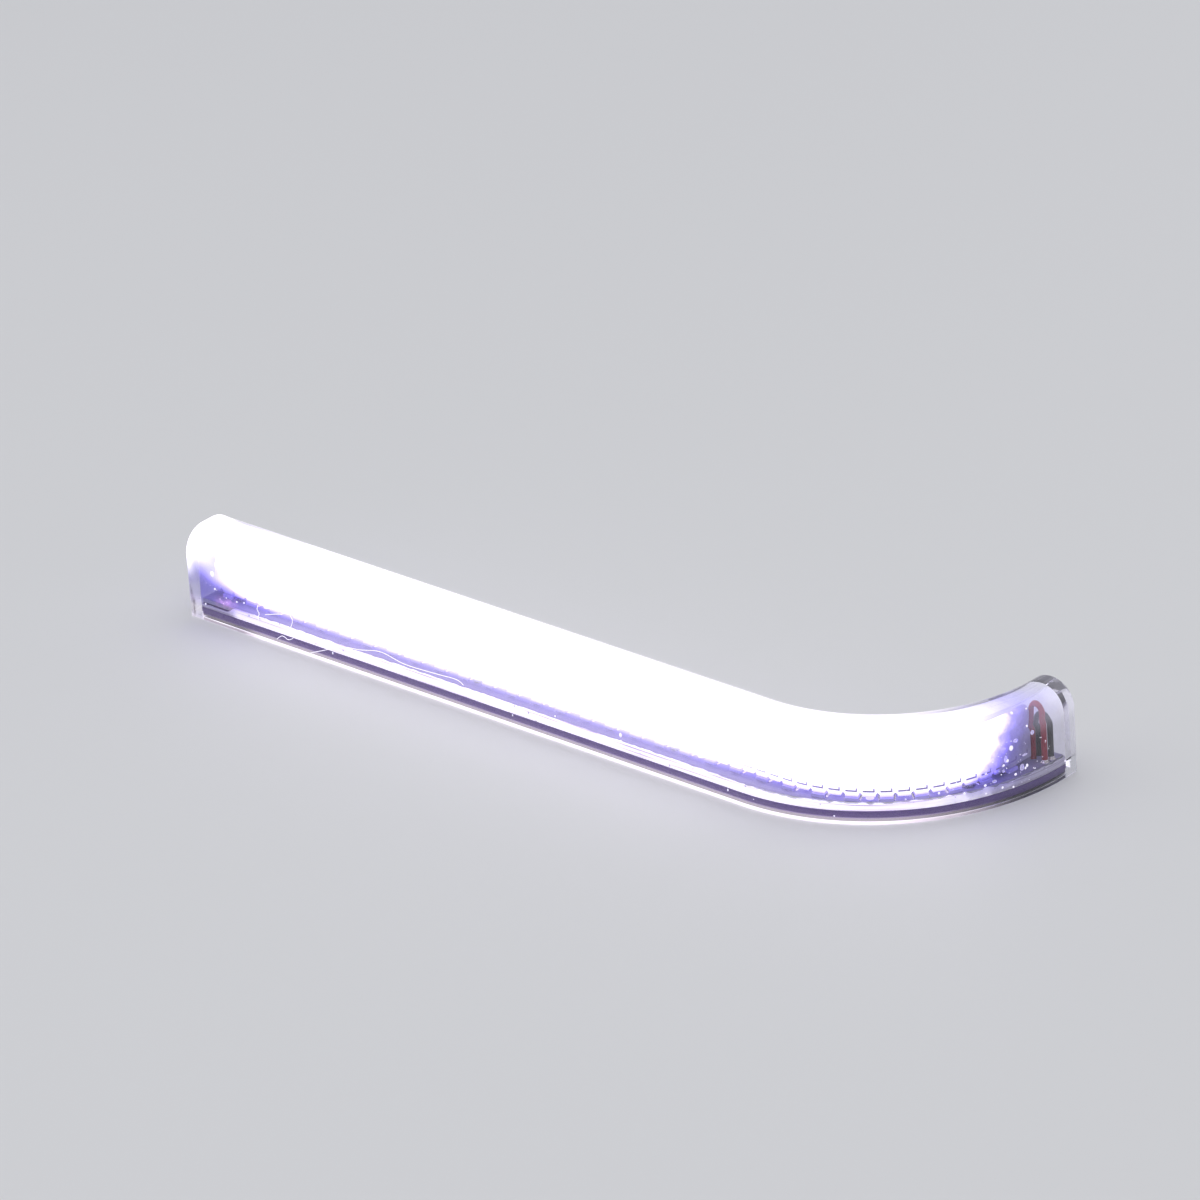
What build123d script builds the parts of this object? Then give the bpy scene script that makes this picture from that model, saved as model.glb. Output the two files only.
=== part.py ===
"""Daytime running light: a clear domed lens over a lit guide, bent once through a right angle.

The lamp lies on the open rim of its lens with the dome upwards (+Z). The long leg runs along X and
the bend turns towards +Y at the right-hand end. Lengths are in millimetres. A cross-section is drawn
as (depth, height): depth is measured inwards from the lens's outer wall, height up from the rim.
"""
import os
from collections import namedtuple
from math import degrees, floor, pi, sqrt, sin, cos

from build123d import *

# Clear lens
long_leg = 160.0
bend_radius = 49.0
short_leg = 4.0
lens_width = 15.0
tip_width = 12.0
lens_height = 21.0
lens_wall = 2.6
tip_flat = 0.2
end_edge_round = 0.8

# Back housing, glued into the lens skirt
housing_recess = 0.4
housing_depth = 2.8
housing_fit = 0.15
bead_lift = 0.9
bead_height = 1.0
bead_bite = 0.6

# Circuit board and the thermal pad under it
pad_thickness = 0.3
pad_inset = 0.9
board_thickness = 1.0
board_fit = 0.3

# Light-emitting diodes
led_pitch = 7.0
led_length = 2.8
led_width = 3.5
led_height = 0.7
led_first = 3.5
led_last_room = 5.0
phosphor_length = 2.0
phosphor_width = 2.6
phosphor_depth = 0.35

# Toothed light guide
guide_thickness = 3.2
guide_fit = 0.3
guide_tip_fit = 0.2
guide_head_room = 1.4
guide_over_led = 0.4
guide_left_room = 1.6
guide_tip_room = 5.8
tooth_depth = 1.0
tooth_gap = 0.9
peg_count = 5
peg_radius = 0.9
spigot_radius = 0.6
spigot_fit = 0.05

# Board screws
screw_count = 4
screw_head_radius = 1.5
screw_head_height = 0.7
screw_shank_radius = 0.8
screw_reach = 3.0
screw_drive_width = 0.4
screw_drive_depth = 0.35
screw_board_fit = 0.1
screw_thread_fit = 0.02

# Driver parts in the lane behind the guide: length, width, height
lane_inset = 1.15
chip_size = (2.9, 1.6, 0.9)
diode_size = (2.7, 1.6, 1.0)
clamp_size = (3.2, 1.8, 1.1)
capacitor_size = (2.0, 1.25, 0.9)
resistor_size = (2.0, 1.25, 0.5)
component_edge = 0.15
capacitor_to_bend = 33.0
capacitor_pitch = 4.0
capacitor_count = 2
chip_to_bend = 22.0
diode_to_bend = 14.5
clamp_to_bend = 7.0
resistor_first = 12.0
leds_per_string = 3
resistor_count = 6

# Supply leads inside the unlit tip
lead_radius = 0.6
lead_fit = 0.15
lead_turn = 1.5
lead_pitch = 1.8
lead_from_guide = 1.2
lead_depth = 3.9
red_lead_room = 0.8
black_lead_drop = 3.0
terminal_radius = 0.9
terminal_height = 0.5
well_floor = 0.6
well_side_room = 0.5

# Rubber inlet for the supply cable, in the wall that faces the inside of the bend
grommet_width = 3.6
grommet_flange_width = 4.6
grommet_flange_length = 1.2
grommet_hole_radius = 1.1

# Brass inserts for the mounting screws
insert_spacing = 100.0
insert_radius = 1.75
insert_hole_radius = 1.25
insert_length = 2.3
insert_fit = 0.02
insert_waist_depth = 0.15
insert_waist_height = 0.6

# Breather in the housing
vent_station = 56.0
vent_hole_radius = 0.8
membrane_radius = 2.0
membrane_thickness = 0.25
vent_cap_radius = 2.6
vent_cap_thickness = 0.8
vent_slot_width = 0.5
vent_slot_length = 2.6
vent_slot_pitch = 1.2
vent_slot_count = 3

# Heights and depths that follow from the sizes above
dome_radius = (tip_width - tip_flat) / 2
housing_top = housing_recess + housing_depth
board_low = housing_top + pad_thickness
board_top = board_low + board_thickness
guide_low = board_top + led_height + guide_over_led
guide_top = lens_height - lens_wall - guide_head_room
bead_low = housing_recess + bead_lift
bead_high = bead_low + bead_height
housing_margin = lens_wall + housing_fit
board_margin = lens_wall + board_fit
middle_depth = lens_width / 2
lane_depth = middle_depth + led_width / 2 + lane_inset
red_lead_rise = lens_height - lens_wall - red_lead_room - lead_radius - lead_turn - board_top
black_lead_rise = red_lead_rise - black_lead_drop

# Plan of the lens, centred on its own box. The inner wall bends less tightly than the outer wall, so
# that the lens narrows towards its tip.
outer_y = -(bend_radius + short_leg) / 2
left_x = -(long_leg + bend_radius) / 2
turn_x = left_x + long_leg
tip_x = turn_x + bend_radius
tip_y = outer_y + bend_radius + short_leg
inner_radius = bend_radius - tip_width
inner_centre_y = outer_y + lens_width + inner_radius

# The guide's bend is tighter than the lens's: it leaves the middle of the long leg, comes closest to
# the outer wall halfway round and ends beside the inner wall.
guide_end_y = tip_y - lens_wall - guide_tip_room
inner_face_x = turn_x + sqrt((inner_radius + lens_wall) ** 2 - (inner_centre_y - guide_end_y) ** 2)
guide_depth = (lens_width - guide_thickness) / 2
guide_tip_depth = tip_x - inner_face_x - guide_tip_fit - guide_thickness
guide_near_depth = lens_wall + guide_fit
half_term = guide_depth + guide_tip_depth - guide_near_depth
square_term = guide_depth ** 2 + guide_tip_depth ** 2 - guide_near_depth ** 2
guide_gap = half_term + sqrt(half_term ** 2 - square_term)

# A run is a straight along X, a right-angle bend and a straight along Y. It is drawn at its outer
# line, and distances along it are measured at its middle radius.
Run = namedtuple("Run", "start_x line_y turn_x radius middle_radius end_y")

lens_run = Run(
    start_x=left_x,
    line_y=outer_y,
    turn_x=turn_x,
    radius=bend_radius,
    middle_radius=bend_radius - middle_depth,
    end_y=tip_y,
)

inner_run = Run(
    start_x=left_x,
    line_y=outer_y + lens_width,
    turn_x=turn_x,
    radius=inner_radius,
    middle_radius=inner_radius,
    end_y=tip_y,
)

guide_run = Run(
    start_x=left_x + lens_wall + guide_left_room,
    line_y=outer_y + guide_depth,
    turn_x=turn_x + guide_gap - guide_tip_depth,
    radius=bend_radius - guide_gap,
    middle_radius=bend_radius - guide_gap - guide_thickness / 2,
    end_y=guide_end_y,
)


def straight_length(run):
    """Length of a run's first straight."""
    return run.turn_x - run.start_x


def bend_end(run):
    """Distance along a run at which its bend ends."""
    return straight_length(run) + run.middle_radius * pi / 2


def run_length(run):
    """Whole length of a run along its middle."""
    return bend_end(run) + run.end_y - run.line_y - run.radius


def plane_across(run, distance):
    """Plane across a run: local x points inwards, local y up and the normal along the run."""
    straight = straight_length(run)
    turn = min(max(distance - straight, 0), run.middle_radius * pi / 2) / run.middle_radius
    x = run.start_x + min(distance, straight) + run.radius * sin(turn)
    y = run.line_y + run.radius * (1 - cos(turn)) + max(distance - bend_end(run), 0)
    return Plane(origin=(x, y, 0), x_dir=(-sin(turn), cos(turn), 0), z_dir=(cos(turn), sin(turn), 0))


def sweep_run(run, section, begin, end):
    """Solid with a constant (depth, height) section along part of a run."""
    straight = straight_length(run)
    bend_stop = bend_end(run)
    spindle = Axis((run.turn_x, run.line_y + run.radius, 0), (0, 0, 1))
    pieces = []
    if begin < straight:
        pieces.append(extrude(plane_across(run, begin) * section, amount=min(end, straight) - begin))
    if begin < bend_stop and end > straight:
        bend_from = max(begin, straight)
        angle = degrees((min(end, bend_stop) - bend_from) / run.middle_radius)
        pieces.append(revolve(plane_across(run, bend_from) * section, axis=spindle, revolution_arc=angle))
    if end > bend_stop:
        leg_from = max(begin, bend_stop)
        pieces.append(extrude(plane_across(run, leg_from) * section, amount=end - leg_from))
    whole = pieces[0]
    for piece in pieces[1:]:
        whole += piece
    return whole


def place(run, distance, depth, height):
    """Location on a run: local x along the run, local y inwards and local z up."""
    across = plane_across(run, distance)
    spot = across.origin + across.x_dir * depth + Vector(0, 0, height)
    return Plane(origin=spot, x_dir=across.z_dir, z_dir=(0, 0, 1)).location


def upright(radius, low, high):
    """Upright round bar between two heights."""
    return Pos(0, 0, low) * Cylinder(radius, high - low, align=(Align.CENTER, Align.CENTER, Align.MIN))


def block(length, width, low, high):
    """Block centred in plan, between two heights."""
    return Pos(0, 0, low) * Box(length, width, high - low, align=(Align.CENTER, Align.CENTER, Align.MIN))


def between_walls(margin, outer_section, inner_section):
    """Body between the outer wall and the inner wall, with both its ends moved in by a margin."""
    outer_side = sweep_run(lens_run, outer_section, margin, run_length(lens_run) - margin)
    inner_side = sweep_run(inner_run, inner_section, 0, run_length(inner_run))
    return outer_side & inner_side


def dome_section(margin, low, side):
    """Half of the lens section, a margin inside its skin, from one wall (side 1 or -1) past the other."""
    shoulder = lens_height - dome_radius
    crown = lens_height - margin
    arc_radius = dome_radius - margin
    wall = side * margin
    arc_end = side * dome_radius
    reach = side * (lens_width + lens_wall)
    outline = Polyline((wall, shoulder), (wall, low), (reach, low), (reach, crown), (arc_end, crown))
    outline += CenterArc((arc_end, shoulder), arc_radius, 90, side * 90)
    return make_face(outline)


def dome_body(margin, low):
    """Lens body with its skin moved inwards by a margin."""
    return between_walls(margin, dome_section(margin, low, 1), dome_section(margin, low, -1))


def slab_section(margin, low, high, side):
    """Square-edged section from one wall (side 1 or -1) past the other."""
    wall = side * margin
    reach = side * (lens_width + lens_wall)
    return make_face(Polyline((wall, low), (reach, low), (reach, high), (wall, high), close=True))


def slab(margin, low, high):
    """Strip with square edges that lies a margin inside the lens's plan on every side."""
    return between_walls(margin, slab_section(margin, low, high, 1), slab_section(margin, low, high, -1))


def group(solids):
    """Separate like pieces kept together."""
    return Compound(children=list(solids))


# Stations along the guide
guide_length = run_length(guide_run)
led_count = floor((guide_length - led_first - led_last_room) / led_pitch) + 1
led_stations = [led_first + led_pitch * number for number in range(led_count)]
gap_pairs = (led_count - 2) // 2


def gap_station(number):
    """Middle of the gap after a light-emitting diode."""
    return led_stations[number] + led_pitch / 2


screw_gaps = [2 * round(gap_pairs * number / (screw_count - 1)) for number in range(screw_count)]
peg_gaps = [2 * round(gap_pairs * (number + 0.5) / peg_count) - 1 for number in range(peg_count)]
screw_spots = [place(guide_run, gap_station(gap), guide_thickness / 2, 0) for gap in screw_gaps]
peg_spots = [place(guide_run, gap_station(gap), guide_thickness / 2, 0) for gap in peg_gaps]

# Leads, inlet, inserts and breather
lead_stations = [run_length(lens_run) - lens_wall - guide_tip_room + lead_from_guide + lead_pitch * number
                 for number in (0, 1)]
lead_drop_depth = lead_depth + 2 * lead_turn
lead_spots = [place(lens_run, station, lead_depth, 0) for station in lead_stations]
lead_drop_spots = [place(lens_run, station, lead_drop_depth, 0) for station in lead_stations]
inlet_station = sum(lead_stations) / 2
inlet_inner_station = run_length(inner_run) - run_length(lens_run) + inlet_station
inlet_height = (housing_recess + housing_top) / 2
insert_stations = [(long_leg + side * insert_spacing) / 2 for side in (-1, 1)]
insert_spots = [place(lens_run, station, middle_depth, 0) for station in insert_stations]
vent_spot = place(lens_run, vent_station, middle_depth, 0)


def inlet_block(near, far, width, low):
    """Block across the inner wall at the cable inlet, between two depths inside that wall."""
    centre = place(inner_run, inlet_inner_station, -(near + far) / 2, 0)
    return centre * block(width, far - near, low, housing_top)


flange_depth = housing_margin + grommet_flange_length


def grommet_envelope(low):
    """Space that the inlet's rubber takes from the lens skirt, the bead and the housing."""
    neck = inlet_block(-lens_wall, flange_depth, grommet_width, low)
    return neck + inlet_block(housing_margin, flange_depth, grommet_flange_width, low)


def make_outer_lens():
    """Clear tub with a domed top, open at the rim, with a notch for the cable inlet."""
    body = dome_body(0, 0)
    left_face = body.faces().sort_by(Axis.X)[0]
    tip_face = body.faces().sort_by(Axis.Y)[-1]
    end_edges = [edge for face in (left_face, tip_face) for edge in face.edges() if edge.center().Z > 0]
    body = fillet(end_edges, end_edge_round)
    notch = inlet_block(-lens_wall, flange_depth, grommet_width, -lens_wall)
    return body - dome_body(lens_wall, -lens_wall) - notch


def bead_ring():
    """Ring between the lens skirt and the bottom of the housing's groove."""
    return slab(lens_wall, bead_low, bead_high) - slab(housing_margin + bead_bite, bead_low, bead_high)


def make_sealing_bead():
    """Sealant bead that closes the joint all round, apart from the cable inlet."""
    return bead_ring() - grommet_envelope(0)


def wire_well():
    """Pocket under the board that leads the supply wires to the inlet."""
    width = lead_pitch + 2 * (lead_radius + well_side_room)
    near_depth = lead_drop_depth - lead_radius - well_side_room
    far_depth = tip_width - housing_margin - grommet_flange_length / 2
    centre = place(lens_run, inlet_station, (near_depth + far_depth) / 2, 0)
    return centre * block(width, far_depth - near_depth, housing_recess + well_floor, housing_top)


def make_housing():
    """Black back moulding with a groove for the bead and seats for inserts, screws and breather."""
    body = slab(housing_margin, housing_recess, housing_top)
    body -= bead_ring()
    body -= grommet_envelope(0)
    body -= wire_well()
    for spot in screw_spots:
        body -= spot * upright(screw_shank_radius + screw_thread_fit, board_top - screw_reach, housing_top)
    for spot in insert_spots:
        body -= spot * upright(insert_radius + insert_fit, 0, housing_recess + insert_length)
    cap_top = housing_recess + vent_cap_thickness
    body -= vent_spot * upright(vent_cap_radius, 0, cap_top)
    body -= vent_spot * upright(membrane_radius, 0, cap_top + membrane_thickness)
    body -= vent_spot * upright(vent_hole_radius, 0, housing_top)
    return body


def make_thermal_pad():
    """Soft pad between board and housing, cut out for screws, pegs, wires and the breather's air."""
    body = slab(board_margin + pad_inset, housing_top, board_low)
    for spot in screw_spots:
        body -= spot * upright(screw_head_radius, housing_top, board_low)
    for spot in peg_spots:
        body -= spot * upright(peg_radius, housing_top, board_low)
    air_path = block(2 * vent_hole_radius, middle_depth, housing_top, board_low)
    body -= vent_spot * Pos(0, middle_depth / 2 - vent_hole_radius, 0) * air_path
    tip_cut = run_length(lens_run) - lens_wall - guide_tip_room
    cut_length = run_length(lens_run) - tip_cut
    body -= place(lens_run, tip_cut + cut_length / 2, middle_depth, 0) * block(
        cut_length, lens_width, housing_top, board_low)
    return body


def make_led_board():
    """Aluminium-core board cut to the bend, with holes for screws, guide pegs and leads."""
    body = slab(board_margin, board_low, board_top)
    for spot in screw_spots:
        body -= spot * upright(screw_shank_radius + screw_board_fit, board_low, board_top)
    for spot in peg_spots:
        body -= spot * upright(spigot_radius + spigot_fit, board_low, board_top)
    for spot in lead_drop_spots:
        body -= spot * upright(lead_radius + lead_fit, board_low, board_top)
    return body


def led_spots(height):
    """Seats of the light-emitting diodes at a height."""
    return [place(guide_run, station, guide_thickness / 2, height) for station in led_stations]


def make_led_packages():
    """White diode bodies, each with a shallow cup in its top."""
    cup = block(phosphor_length, phosphor_width, led_height - phosphor_depth, led_height)
    body = block(led_length, led_width, 0, led_height) - cup
    return group(spot * body for spot in led_spots(board_top))


def make_led_phosphors():
    """Yellow phosphor fill in each diode's cup."""
    fill = block(phosphor_length, phosphor_width, led_height - phosphor_depth, led_height)
    return group(spot * fill for spot in led_spots(board_top))


def tooth_notch():
    """Notch with a pointed roof across the guide's lower edge."""
    roof = make_face(Polyline(
        (-tooth_gap / 2, -tooth_depth), (tooth_gap / 2, -tooth_depth), (tooth_gap / 2, tooth_depth / 2),
        (0, tooth_depth), (-tooth_gap / 2, tooth_depth / 2), close=True))
    return extrude(Plane.XZ * roof, amount=guide_thickness, both=True)


def make_light_guide():
    """Clear blade with a round top, two teeth to each diode and pegs that stand on the board."""
    crown_radius = guide_thickness / 2
    shoulder = guide_top - crown_radius
    outline = Polyline(
        (0, shoulder), (0, guide_low), (guide_thickness, guide_low), (guide_thickness, shoulder))
    outline += CenterArc((crown_radius, shoulder), crown_radius, 0, 180)
    body = sweep_run(guide_run, make_face(outline), 0, guide_length)
    tooth_pitch = led_pitch / 2
    tooth_count = floor((guide_length - led_first) / tooth_pitch)
    stations = [led_first + tooth_pitch * (number - 0.5) for number in range(tooth_count)]
    notch = tooth_notch()
    body -= [place(guide_run, station, guide_thickness / 2, guide_low) * notch for station in stations]
    for spot in peg_spots:
        body += spot * upright(peg_radius, board_top, guide_low + tooth_depth)
        body += spot * upright(spigot_radius, board_low, board_top + tooth_depth)
    return body


def make_board_screws():
    """Low-headed screws with a cross drive that hold the board down."""
    head_top = board_top + screw_head_height
    head = upright(screw_head_radius, board_top, head_top)
    drive_low = head_top - screw_drive_depth
    head -= block(screw_head_radius, screw_drive_width, drive_low, head_top)
    head -= block(screw_drive_width, screw_head_radius, drive_low, head_top)
    screw = head + upright(screw_shank_radius, board_top - screw_reach, board_top)
    return group(spot * screw for spot in screw_spots)


def lane_component(size, station):
    """Small component with softened edges in the lane behind the guide."""
    length, width, height = size
    body = block(length, width, 0, height)
    body = chamfer(body.faces().sort_by(Axis.Z)[-1].edges(), component_edge)
    return place(lens_run, station, lane_depth, board_top) * body


def make_filter_capacitors():
    """Ceramic capacitors at the driver's input."""
    return group(lane_component(capacitor_size, long_leg - capacitor_to_bend + capacitor_pitch * number)
                 for number in range(capacitor_count))


def make_string_resistors():
    """One resistor for each string of diodes on the long leg."""
    return group(lane_component(resistor_size, resistor_first + leds_per_string * led_pitch * number)
                 for number in range(resistor_count))


def make_lead_terminals():
    """Solder points that the supply leads stand on."""
    terminal = upright(terminal_radius, board_top, board_top + terminal_height)
    return group(spot * terminal for spot in lead_spots)


def make_lead(number, rise):
    """Insulated lead: up from its terminal, over, and down through the board to the inlet's well."""
    across = place(lens_run, lead_stations[number], lead_depth, 0)
    low = board_top + terminal_height
    high = board_top + rise
    drop = 2 * lead_turn
    path = Polyline((0, low), (0, high))
    path += CenterArc((lead_turn, high), lead_turn, 0, 180)
    path += Line((drop, high), (drop, inlet_height - lead_radius))
    upright_plane = Plane(origin=(0, 0, 0), x_dir=(0, 1, 0), z_dir=(1, 0, 0))
    tube = sweep(Pos(0, 0, low) * Circle(lead_radius), path=upright_plane * path)
    return across * tube


def make_cable_grommet():
    """Rubber inlet held in the lens skirt and the housing, with a hole for the cable."""
    body = grommet_envelope(housing_recess) & dome_body(0, 0)
    centre = place(inner_run, inlet_inner_station, 0, inlet_height)
    bore = Cylinder(grommet_hole_radius, 2 * lens_width)
    return body - centre * Rot(90, 0, 0) * bore


def make_threaded_inserts():
    """Brass inserts with a waist, flush with the housing's back."""
    low = housing_recess
    high = low + insert_length
    middle = (low + high) / 2
    waist = upright(insert_radius, middle - insert_waist_height / 2, middle + insert_waist_height / 2)
    waist -= upright(insert_radius - insert_waist_depth, low, high)
    insert = upright(insert_radius, low, high) - waist - upright(insert_hole_radius, low, high)
    return group(spot * insert for spot in insert_spots)


def make_vent_membrane():
    """Breathable disc over the vent hole."""
    low = housing_recess + vent_cap_thickness
    return vent_spot * upright(membrane_radius, low, low + membrane_thickness)


def make_vent_cap():
    """Slotted cap that keeps the membrane in its seat."""
    high = housing_recess + vent_cap_thickness
    body = upright(vent_cap_radius, housing_recess, high)
    for number in range(vent_slot_count):
        offset = vent_slot_pitch * (number - (vent_slot_count - 1) / 2)
        body -= Pos(offset, 0, 0) * block(vent_slot_width, vent_slot_length, housing_recess, high)
    return vent_spot * body


def make_parts():
    """Every piece by name."""
    return {
        "outer_lens": make_outer_lens(),
        "housing": make_housing(),
        "sealing_bead": make_sealing_bead(),
        "thermal_pad": make_thermal_pad(),
        "led_board": make_led_board(),
        "led_packages": make_led_packages(),
        "led_phosphors": make_led_phosphors(),
        "light_guide": make_light_guide(),
        "board_screws": make_board_screws(),
        "driver_chip": lane_component(chip_size, long_leg - chip_to_bend),
        "input_diode": lane_component(diode_size, long_leg - diode_to_bend),
        "surge_clamp": lane_component(clamp_size, long_leg - clamp_to_bend),
        "filter_capacitors": make_filter_capacitors(),
        "string_resistors": make_string_resistors(),
        "lead_terminals": make_lead_terminals(),
        "red_lead": make_lead(0, red_lead_rise),
        "black_lead": make_lead(1, black_lead_rise),
        "cable_grommet": make_cable_grommet(),
        "threaded_inserts": make_threaded_inserts(),
        "vent_membrane": make_vent_membrane(),
        "vent_cap": make_vent_cap(),
    }


os.makedirs("parts", exist_ok=True)
for name, shape in make_parts().items():
    export_step(shape, f"parts/{name}.step")
    print(name, len(shape.solids()), round(shape.volume, 2))
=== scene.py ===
# %% [markdown]
# # A lit daytime running light
# The lamp is a clear domed tub that lies on its rim. Under the dome stands a toothed acrylic blade,
# lit from below by a row of diodes on a pale board, and a dark moulding closes the back.
# The solids come in as a fixed frame, at their real size. This lesson dresses them. It rebuilds the
# pieces whose surface needs more than the solids carry, adds the small things that repeat along the
# lamp, and gives every piece a finish made of nodes.

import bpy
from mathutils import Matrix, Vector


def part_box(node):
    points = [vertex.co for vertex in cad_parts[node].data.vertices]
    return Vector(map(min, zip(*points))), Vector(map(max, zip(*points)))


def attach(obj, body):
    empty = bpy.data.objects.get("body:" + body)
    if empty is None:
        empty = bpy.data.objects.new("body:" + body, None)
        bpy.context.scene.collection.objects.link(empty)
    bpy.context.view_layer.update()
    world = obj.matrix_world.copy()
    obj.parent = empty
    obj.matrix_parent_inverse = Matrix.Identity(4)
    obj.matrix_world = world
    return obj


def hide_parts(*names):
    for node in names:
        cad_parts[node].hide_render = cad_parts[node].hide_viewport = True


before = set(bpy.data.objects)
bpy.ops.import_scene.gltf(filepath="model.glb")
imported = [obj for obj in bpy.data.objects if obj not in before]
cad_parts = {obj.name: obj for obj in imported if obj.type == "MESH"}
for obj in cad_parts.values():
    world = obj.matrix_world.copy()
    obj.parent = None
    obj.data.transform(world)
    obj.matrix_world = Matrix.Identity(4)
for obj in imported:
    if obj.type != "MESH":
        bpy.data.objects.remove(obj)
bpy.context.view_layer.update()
print("solids in", len(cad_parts), "nodes")

# %% [markdown]
# ## The plan of the lamp
# Seen from above the lamp is a strip that runs straight and then turns through a right angle.
# A curve object could hold that line, but a small formula is easier to measure from: a *run* is a
# straight, a bend and a short leg, and any point of the lamp is a distance along a run, a depth
# inwards from it and a height above the rim. Three runs are enough: the lens's outer wall, its inner
# wall and the light guide. Their ends come from the frame, so they stay with the solids.

# %% Plan of the lamp
from collections import namedtuple
from math import acos, asin, cos, pi, radians, sin

import bmesh
import bpy
from mathutils import Matrix, Vector, noise

scene = bpy.context.scene
mm = 0.001
lens_low, lens_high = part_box("outer_lens")
guide_low, guide_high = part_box("light_guide")

bend_radius = 49 * mm
lens_width = 15 * mm
tip_width = 12 * mm
lens_wall = 2.6 * mm
guide_bend_radius = 34.53 * mm
guide_thickness = 3.2 * mm

Run = namedtuple("Run", "start_x line_y turn_x radius middle_radius end_y")
turn_x = lens_high.x - bend_radius
inner_radius = bend_radius - tip_width
outer_wall = Run(lens_low.x, lens_low.y, turn_x, bend_radius, bend_radius - lens_width / 2, lens_high.y)
inner_wall = Run(lens_low.x, lens_low.y + lens_width, turn_x, inner_radius, inner_radius, lens_high.y)
guide_run = Run(guide_low.x, guide_low.y, guide_high.x - guide_bend_radius, guide_bend_radius,
                guide_bend_radius - guide_thickness / 2, guide_high.y)


def run_length(run):
    """Length of a run along its middle."""
    return run.turn_x - run.start_x + run.middle_radius * pi / 2 + run.end_y - run.line_y - run.radius


def turn_at(run, distance):
    """Angle that a run has turned through at a distance along it."""
    return min(max(distance - run.turn_x + run.start_x, 0) / run.middle_radius, pi / 2)


def spot(run, distance, depth=0.0, height=0.0):
    """Point at a distance along a run, a depth inwards from it and a height above the rim."""
    turn = turn_at(run, distance)
    beyond = max(distance - run.turn_x + run.start_x - run.middle_radius * pi / 2, 0)
    reach = run.radius - depth
    x = run.start_x + min(distance, run.turn_x - run.start_x) + reach * sin(turn)
    return Vector((x, run.line_y + run.radius - reach * cos(turn) + beyond, height))


for label, run in (("outer wall", outer_wall), ("guide", guide_run)):
    print(label, round(run_length(run) / mm, 1), "mm long")

# %% [markdown]
# ## Small helpers for meshes
# A finished piece is a plain mesh whose object sits at the origin. `new_piece` makes one and lets it
# ride on the only body that this lamp has. `bridge` lays faces between rings of corners, and the lens,
# the solder and the metal legs all get their skin from it.

# %% Mesh helpers
smooth_limit = radians(35)


def coat(mesh, material):
    """Give a mesh one material."""
    mesh.materials.clear()
    mesh.materials.append(material)


def new_piece(name, mesh, material=None, stands_for=()):
    """Object from a finished mesh, riding on the lamp."""
    if material:
        coat(mesh, material)
    piece = bpy.data.objects.new(name, mesh)
    scene.collection.objects.link(piece)
    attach(piece, "root")
    if stands_for:
        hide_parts(*stands_for)
    print(name, len(mesh.polygons), "faces")


def plain_mesh(name, points, edges=(), faces=()):
    """Mesh from lists of points, edges and faces."""
    mesh = bpy.data.meshes.new(name)
    mesh.from_pydata([tuple(point) for point in points], edges, faces)
    return mesh


def mesh_from(work, name, smooth=True):
    """Mesh from a bmesh, with its sharp edges kept."""
    mesh = bpy.data.meshes.new(name)
    work.to_mesh(mesh)
    work.free()
    mesh.polygons.foreach_set("use_smooth", [smooth] * len(mesh.polygons))
    mesh.set_sharp_from_angle(angle=smooth_limit)
    return mesh


def outward_mesh(work, name):
    """Mesh from a bmesh whose faces are first turned outwards."""
    bmesh.ops.recalc_face_normals(work, faces=work.faces)
    return mesh_from(work, name)


def bridge(work, rings, closed=True):
    """Faces between neighbouring rings of corners, with a cap at each end."""
    for ring, after in zip(rings, rings[1:]):
        for first in range(len(ring) if closed else len(ring) - 1):
            second = (first + 1) % len(ring)
            work.faces.new((ring[first], ring[second], after[second], after[first]))
    work.faces.new(rings[0])
    work.faces.new(rings[-1])


print("mesh helpers ready")

# %% [markdown]
# ## Small helpers for nodes
# Node trees are written as a few lines each. `feed` sets a socket to a number, or links it where the
# value is itself a socket, so the same line serves both. A socket knows the tree that it belongs to,
# so most helpers need not be told which tree they work in.

# %% Node helpers


def feed(socket, value):
    """Link a socket, or set its own value."""
    if isinstance(value, bpy.types.NodeSocket):
        socket.id_data.links.new(value, socket)
    else:
        socket.default_value = value


def node(tree, kind, **values):
    """New node. A keyword with a capital feeds the input of that name, and any other is a setting."""
    made = tree.nodes.new(kind)
    for key, value in values.items():
        if key.islower():
            setattr(made, key, value)
    for key, value in values.items():
        if not key.islower():
            feed(made.inputs[key.replace("_", " ")], value)
    return made


def maths(operation, *values, clamp=False):
    """One step of arithmetic on sockets and numbers."""
    tree = next(value.id_data for value in values if isinstance(value, bpy.types.NodeSocket))
    made = node(tree, "ShaderNodeMath", operation=operation, use_clamp=clamp)
    for socket, value in zip(made.inputs, values):
        feed(socket, value)
    return made.outputs[0]


def times(first, *others):
    """Product of two or more values."""
    for other in others:
        first = maths("MULTIPLY", first, other)
    return first


def inverse(value):
    """One minus a value."""
    return maths("SUBTRACT", 1.0, value)


def ease(value, begin, end, low=0.0, high=1.0):
    """Smooth step of a value from begin to end."""
    made = node(value.id_data, "ShaderNodeMapRange", interpolation_type="SMOOTHSTEP", Value=value,
                From_Min=begin, From_Max=end, To_Min=low, To_Max=high)
    return made.outputs["Result"]


def band(value, low, high, soft=0.08):
    """Mask that is 1 between two values."""
    return times(ease(value, low - soft, low + soft), ease(value, high - soft, high + soft, 1.0, 0.0))


def ramp(value, *stops):
    """Colour ramp from (place, colour) stops."""
    made = node(value.id_data, "ShaderNodeValToRGB")
    elements = made.color_ramp.elements
    while len(elements) < len(stops):
        elements.new(0.5)
    for element, (place, colour) in zip(elements, stops):
        element.position = place
        element.color = (*colour, 1)
    feed(made.inputs[0], value)
    return made.outputs["Color"]


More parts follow.
